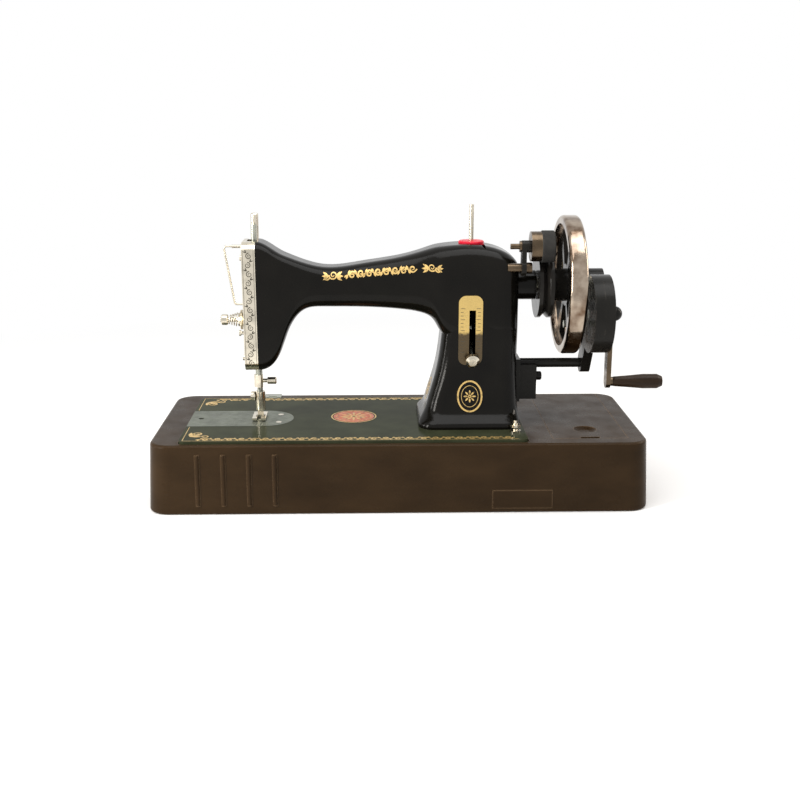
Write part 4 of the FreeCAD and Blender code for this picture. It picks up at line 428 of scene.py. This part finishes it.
def leaf(u, v, angle, length, half, steps=8):
    """A pointed leaf from (u, v) outwards."""
    point = 0.04
    return [(u + math.cos(angle) * length * i / steps, v + math.sin(angle) * length * i / steps,
             point + half * math.sin(math.pi * i / steps)) for i in range(steps + 1)]


def running_scroll(u0, u1, v, pitch, size):
    """Curls that turn up and down by turns along a wave, with leaves between each two."""
    steps = 10
    wave_high, wave_half = 0.45 * size, 0.10 * size
    curl_drop, curl_radius, curl_turns = 0.1 * size, 0.5 * size, 1.2
    half, leaf_long = 0.16 * size, 0.75 * size
    count = round((u1 - u0) / pitch)
    pitch = (u1 - u0) / count
    lines = [[(u0 + pitch * i / steps, v + wave_high * math.sin(math.pi * i / steps), wave_half)
              for i in range(count * steps + 1)]]
    for k in range(count):
        side = -1 if k % 2 else 1
        middle = u0 + pitch * (k + 0.5)
        lines.append(curl(middle, v - side * curl_drop, curl_radius, side * UPWARD, side * curl_turns, half))
        for spread in (0.5, 1.1):
            lines.append(leaf(u0 + pitch * k, v, side * spread, leaf_long, half))
            lines.append(leaf(u0 + pitch * k, v, math.pi + side * spread, leaf_long, half))
    return lines


def rosette(u, v, radius, petals):
    """Petals round a small ring."""
    petal_start, petal_long, petal_half = 0.25 * radius, 0.62 * radius, 0.9 * radius / petals
    eye_radius, eye_half = 0.16 * radius, 0.06 * radius
    lines = []
    for k in range(petals):
        angle = 2 * math.pi * k / petals
        start = (u + petal_start * math.cos(angle), v + petal_start * math.sin(angle))
        lines.append(leaf(*start, angle, petal_long, petal_half))
    return lines + [ring(u, v, eye_radius, eye_half)]


def above(place, height):
    """The same surface, raised by a height, for a second layer."""
    def raised(u, v):
        hit, normal, index, distance = place(u, v)
        return (None if hit is None else hit + normal * height), normal, index, distance
    return raised


gold = gilt("gilt", (0.66, 0.45, 0.16), 0.5)
rust = gilt("gilt_red", (0.52, 0.10, 0.025), 0.0)
ink = engraved()

# Bands along the bed's edges: running scrolls, with a line outside them and a spray in each left corner.
bed_low, bed_high = (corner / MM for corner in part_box("bed"))
on_bed = surface("bed", "z")
BAND_INSET, BAND_SIZE, BAND_PITCH = 8, 7, 13
RIGHT_INSET, CORNER_ROOM, PILLAR_ROOM = 10, 14, 20
BREAK_LEFT, BREAK_RIGHT, BAND_TAIL = 18, 20, 4
LINE_OUT, LINE_LEFT, LINE_HALF, LINE_STEPS, SIDE_STEPS = 5.5, 4, 0.35, 60, 40
left, right = bed_low.x + BAND_INSET, bed_high.x - RIGHT_INSET
front, back = bed_low.y + BAND_INSET, bed_high.y - BAND_INSET
line_left, line_front, line_back = left - LINE_LEFT, front - LINE_OUT, back + LINE_OUT
band = [
    *running_scroll(left + CORNER_ROOM, BREAK_LEFT, front, BAND_PITCH, BAND_SIZE),
    *running_scroll(left + CORNER_ROOM, right - PILLAR_ROOM, back, BAND_PITCH, BAND_SIZE),
    straight(line_left, line_front, right, line_front, LINE_HALF, LINE_STEPS),
    straight(line_left, line_back, right, line_back, LINE_HALF, LINE_STEPS),
    straight(line_left, line_front, line_left, line_back, LINE_HALF, SIDE_STEPS),
    *running_scroll(BREAK_RIGHT, right - BAND_TAIL, front, BAND_PITCH, BAND_SIZE),
]
# A spray has leaves that fan out from its root, and curls: place, radius, start, turns and half width.
SPRAY_IN, SPRAY_ROOT, SPRAY_LEAF, SPRAY_HALF = 10, 2, 15, 2.2
SPRAY_FAN = (0, 0.8, 1.6)
SPRAY_CURLS = ((8, 10, 6, -UPWARD, 1.4, 0.9), (18, -1, 5, math.pi, -1.3, 0.8))
for v, way in ((front + SPRAY_IN, 1), (back - SPRAY_IN, -1)):
    for turn in SPRAY_FAN:
        band.append(leaf(left + SPRAY_ROOT, v, way * turn, SPRAY_LEAF, SPRAY_HALF))
    for across, inward, radius, start, turns, half in SPRAY_CURLS:
        band.append(curl(left + across, v + way * inward, radius, way * start, way * turns, half))
ornament("bed_bands", on_bed, band, gold)

# A round medal in the middle of the bed: a ground of rings, and a rosette in gold over it.
MEDAL = Vector((-50, -5))
MEDAL_RADIUS = 25
GROUND_HALF = MEDAL_RADIUS * 0.085
ground_rings = [ring(*MEDAL, MEDAL_RADIUS * share, GROUND_HALF) for share in (0.2, 0.36, 0.52, 0.68, 0.84)]
ornament("bed_medal_ground", on_bed, ground_rings, rust)
LAYER_GAP = 0.02 * MM
over_bed = above(on_bed, LEAF + LAYER_GAP)
MEDAL_HALF, INNER_SHARE, INNER_HALF = 0.7, 0.78, 0.35
ROSETTE_SHARE, MEDAL_PETALS = 0.74, 12
medal_rings = [ring(*MEDAL, MEDAL_RADIUS, MEDAL_HALF), ring(*MEDAL, MEDAL_RADIUS * INNER_SHARE, INNER_HALF)]
medal_middle = rosette(*MEDAL, MEDAL_RADIUS * ROSETTE_SHARE, MEDAL_PETALS)
ornament("bed_medal", over_bed, medal_rings + medal_middle, gold)

# A running scroll along the arm, between two flourishes; heights are above the bed.
on_arm = surface("arm_casting", "y")
bed_top = bed_high.z
flourish = []
# A flourish is a place and the way it faces, with curls as in a spray and a fan of leaves at each end.
FLOURISHES = ((-70, 165, 1), (36, 174, -1))
FLOURISH_CURLS = ((0, 1, 4.5, math.pi, 1.5, 0.8), (-7, -1, 3.2, 0, -1.4, 0.7))
FLOURISH_FAN = (-0.6, 0, 0.6)
FLOURISH_LEAVES = ((3, 0, 8, 1.3), (-5, math.pi, 7, 1.2))
for u, rise, way in FLOURISHES:
    v = bed_top + rise
    facing = 0 if way == 1 else math.pi
    for ahead, higher, radius, start, turns, half in FLOURISH_CURLS:
        flourish.append(curl(u + way * ahead, v + higher, radius, facing + start, way * turns, half))
    for turn in FLOURISH_FAN:
        for ahead, start, length, half in FLOURISH_LEAVES:
            flourish.append(leaf(u + way * ahead, v, facing + start + turn, length, half))
SCROLL_START, SCROLL_END = Vector((-54, 166.5)), Vector((20, 173))
SCROLL_PITCH, SCROLL_SIZE = 9, 6.5
slope = (SCROLL_END.y - SCROLL_START.y) / (SCROLL_END.x - SCROLL_START.x)
for line in running_scroll(SCROLL_START.x, SCROLL_END.x, 0, SCROLL_PITCH, SCROLL_SIZE):
    rise = bed_top + SCROLL_START.y
    flourish.append([(u, rise + v + slope * (u - SCROLL_START.x), half) for u, v, half in line])
ornament("arm_scroll", on_arm, flourish, gold)

# A rosette on the pillar's left side, and one in an oval on the badge.
DECAL = Vector((-8, bed_top + 34))
DECAL_RADIUS, DECAL_HALF, DECAL_GAP, DECAL_PETALS = 12, 0.6, 1, 10
on_pillar = surface("arm_casting", "x")
decal_middle = rosette(*DECAL, DECAL_RADIUS - DECAL_GAP, DECAL_PETALS)
ornament("pillar_rosette", on_pillar, [ring(*DECAL, DECAL_RADIUS, DECAL_HALF), *decal_middle], gold)

badge_low, badge_high = (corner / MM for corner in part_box("badge"))
badge_at = (badge_low + badge_high) / 2
badge_half = (badge_high - badge_low) / 2
BADGE_RIM, BADGE_HALF = 1.4, 0.9
BADGE_INNER, BADGE_INNER_HALF = 0.7, 0.3
BADGE_ROSETTE, BADGE_PETALS = 8, 8
on_badge = surface("badge", "y")
badge_radius = badge_half.x - BADGE_RIM
stretch = (badge_half.z - BADGE_RIM) / badge_radius
badge_ring = ring(badge_at.x, badge_at.z, badge_radius, BADGE_HALF, stretch)
badge_inner = ring(badge_at.x, badge_at.z, badge_radius * BADGE_INNER, BADGE_INNER_HALF, stretch)
badge_middle = rosette(badge_at.x, badge_at.z, BADGE_ROSETTE, BADGE_PETALS)
ornament("badge_gilt", on_badge, [badge_ring, badge_inner, *badge_middle], gold)

# Ticks up both sides of the stitch plate.
stitch_low, stitch_high = (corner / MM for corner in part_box("stitch_plate"))
on_stitch = surface("stitch_plate", "y")
TICKS, TICK_STEPS = 13, 4
TICK_EDGE, TICK_ENDS, TICK_HALF = 2.2, 14, 0.25
LONG_TICK, SHORT_TICK, TICKS_PER_LONG = 4.5, 3, 3
tick_left, tick_right = stitch_low.x + TICK_EDGE, stitch_high.x - TICK_EDGE
tick_span = stitch_high.z - stitch_low.z - TICK_ENDS * 2
tick_lines = []
for k in range(TICKS):
    v = stitch_low.z + TICK_ENDS + tick_span * k / (TICKS - 1)
    reach = SHORT_TICK if k % TICKS_PER_LONG else LONG_TICK
    tick_lines.append(straight(tick_left, v, tick_left + reach, v, TICK_HALF, TICK_STEPS))
    tick_lines.append(straight(tick_right - reach, v, tick_right, v, TICK_HALF, TICK_STEPS))
ornament("stitch_ticks", on_stitch, tick_lines, ink)

# Engraving on the face plate: two columns of curls between two lines.
plate_low, plate_high = (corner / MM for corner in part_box("face_plate"))
on_face = surface("face_plate", "x")
plate_mid = (plate_low.y + plate_high.y) / 2
plate_tall = plate_high.z - plate_low.z
CURLS, CURL_SIDE, CURL_ENDS = 7, 11, 16
CURL_RADIUS, CURL_TURNS, CURL_HALF = 7, 1.6, 0.7
# Two leaves over each curl: place across, lean, length and half width.
SPRIG_RISE, SPRIGS = 8, ((-4, 0.5, 7, 1.0), (2, -0.4, 6, 0.9))
EDGE_SIDE, EDGE_ENDS, EDGE_HALF = 21, 6, 0.3
engraving = []
for side in (-1, 1):
    edge = plate_mid + side * EDGE_SIDE
    foot, head = plate_low.z + EDGE_ENDS, plate_high.z - EDGE_ENDS
    engraving.append(straight(edge, foot, edge, head, EDGE_HALF, LINE_STEPS))
for k in range(CURLS):
    v = plate_low.z + CURL_ENDS + (plate_tall - CURL_ENDS * 2) * k / (CURLS - 1)
    for side in (-1, 1):
        u = plate_mid + side * CURL_SIDE
        engraving.append(curl(u, v, CURL_RADIUS, UPWARD, side * CURL_TURNS, CURL_HALF))
        for across, lean, length, half in SPRIGS:
            engraving.append(leaf(u + side * across, v + SPRIG_RISE, UPWARD + side * lean, length, half))
ornament("face_engraving", on_face, engraving, ink)

# The plate's turned-down front edge carries the same work, smaller.
on_rim = surface("face_plate", "y")
RIM_INSET, RIM_FOOT, RIM_HEAD, RIM_HALF = 1.5, 5, 8, 0.22
RIM_CURLS, RIM_CURL_FOOT, RIM_CURL_ENDS = 13, 10, 24
RIM_CURL_SIDE, RIM_CURL_RADIUS, RIM_CURL_TURNS, RIM_CURL_HALF = 0.8, 3.4, 1.5, 0.5
RIM_LEAF_SIDE, RIM_LEAF_RISE, RIM_LEAF, RIM_LEAF_HALF = 1.5, 3.5, 4.2, 0.6
RIM_LEANS = (0.5, 1.2)
rim_left, rim_right = plate_low.x + RIM_INSET, plate_high.x - RIM_INSET
rim_work = [straight(u, plate_low.z + RIM_FOOT, u, plate_high.z - RIM_HEAD, RIM_HALF, LINE_STEPS)
            for u in (rim_left, rim_right)]
u = (rim_left + rim_right) / 2
for k in range(RIM_CURLS):
    v = plate_low.z + RIM_CURL_FOOT + (plate_tall - RIM_CURL_ENDS) * k / (RIM_CURLS - 1)
    side = -1 if k % 2 else 1
    curl_u, leaf_u = u + side * RIM_CURL_SIDE, u - side * RIM_LEAF_SIDE
    rim_work.append(curl(curl_u, v, RIM_CURL_RADIUS, UPWARD, side * RIM_CURL_TURNS, RIM_CURL_HALF))
    for lean in RIM_LEANS:
        rim_work.append(leaf(leaf_u, v + RIM_LEAF_RISE, UPWARD + side * lean, RIM_LEAF, RIM_LEAF_HALF))
ornament("face_rim_engraving", on_rim, rim_work, ink)


def floor():
    """A pale floor that keeps the object's shadow, and turns plain white farther out."""
    size = 30.0
    shade_ends, white_starts = 0.5, 1.1
    mesh = bpy.data.meshes.new("floor")
    corners = [(-size, -size, 0), (size, -size, 0), (size, size, 0), (-size, size, 0)]
    mesh.from_pydata(corners, [], [(0, 1, 2, 3)])
    piece = bpy.data.objects.new("floor", mesh)
    bpy.context.scene.collection.objects.link(piece)
    finish = Finish("floor", (0.93, 0.93, 0.93), 0.9)
    away = finish.add("ShaderNodeVectorMath", operation="LENGTH")
    finish.link(finish.place, away, 0)
    white = finish.add("ShaderNodeEmission")
    blend = finish.add("ShaderNodeMixShader")
    finish.link(finish.spread(away.outputs["Value"], 0, 1, shade_ends, white_starts), blend, 0)
    finish.link(finish.shader.outputs[0], blend, 1)
    finish.link(white.outputs[0], blend, 2)
    finish.link(blend.outputs[0], finish.tree.nodes["Material Output"], "Surface")
    mesh.materials.append(finish.material)


def world():
    """Even soft light, and a white surround for camera, mirrored and refracted rays."""
    soft_light = 0.55
    scene_world = bpy.data.worlds.new("studio")
    bpy.context.scene.world = scene_world
    scene_world.use_nodes = True
    tree = scene_world.node_tree
    ground = tree.nodes["Background"]
    ground.inputs["Color"].default_value = (1, 1, 1, 1)
    ground.inputs["Strength"].default_value = soft_light
    white = tree.nodes.new("ShaderNodeBackground")
    white.inputs["Color"].default_value = (1, 1, 1, 1)
    rays = tree.nodes.new("ShaderNodeLightPath")
    seen = rays.outputs["Is Camera Ray"]
    for kind in ("Is Glossy Ray", "Is Transmission Ray"):
        either = tree.nodes.new("ShaderNodeMath")
        either.operation = "MAXIMUM"
        tree.links.new(seen, either.inputs[0])
        tree.links.new(rays.outputs[kind], either.inputs[1])
        seen = either.outputs[0]
    mix = tree.nodes.new("ShaderNodeMixShader")
    tree.links.new(seen, mix.inputs["Fac"])
    tree.links.new(ground.outputs[0], mix.inputs[1])
    tree.links.new(white.outputs[0], mix.inputs[2])
    tree.links.new(mix.outputs[0], tree.nodes["World Output"].inputs["Surface"])


def softbox(name, place, aim, width, height, power, colour=(1, 1, 1)):
    """A rectangular lamp of a size in metres and a power in watts, aimed at a point."""
    light = bpy.data.lights.new(name, "AREA")
    light.shape = "RECTANGLE"
    light.size = width
    light.size_y = height
    light.energy = power
    light.color = colour
    lamp = bpy.data.objects.new(name, light)
    lamp.location = place
    lamp.rotation_euler = (Vector(aim) - Vector(place)).to_track_quat("-Z", "Y").to_euler()
    bpy.context.scene.collection.objects.link(lamp)


def camera(place, pitch, turn, lens):
    """A camera that looks down by a pitch and turns about the vertical, both in radians."""
    data = bpy.data.cameras.new("camera")
    data.lens = lens
    view = bpy.data.objects.new("camera", data)
    view.location = place
    view.rotation_euler = (math.pi / 2 - pitch, 0, turn)
    bpy.context.scene.collection.objects.link(view)
    bpy.context.scene.camera = view


floor()
world()
CREAM, WARM, AMBER = (1, 0.97, 0.92), (1, 0.96, 0.9), (1, 0.9, 0.78)
middle = (0, 0, 0.15)
pillar_edge = (0.06, -0.03, 0.2)
softbox("above", (0.1, -0.3, 1.6), middle, 1.6, 1.0, 16)
softbox("left", (-1.3, -0.9, 0.7), middle, 0.3, 1.2, 26, WARM)
softbox("right", (1.4, 0.2, 0.8), middle, 0.3, 1.0, 8, AMBER)
softbox("edge", (-1.4, -0.2, 0.35), pillar_edge, 0.1, 0.8, 4, CREAM)
# The image's width and the focal length in pixels, and the sensor's width in millimetres.
IMAGE, FOCAL_PIXELS, SENSOR = 800, 1116, 36
CAMERA_AT, PITCH, TURN = (-0.0257, -1.2282, 0.4262), 0.2621, -0.0231
camera(CAMERA_AT, PITCH, TURN, FOCAL_PIXELS / IMAGE * SENSOR)

bpy.context.scene.view_settings.view_transform = "Standard"
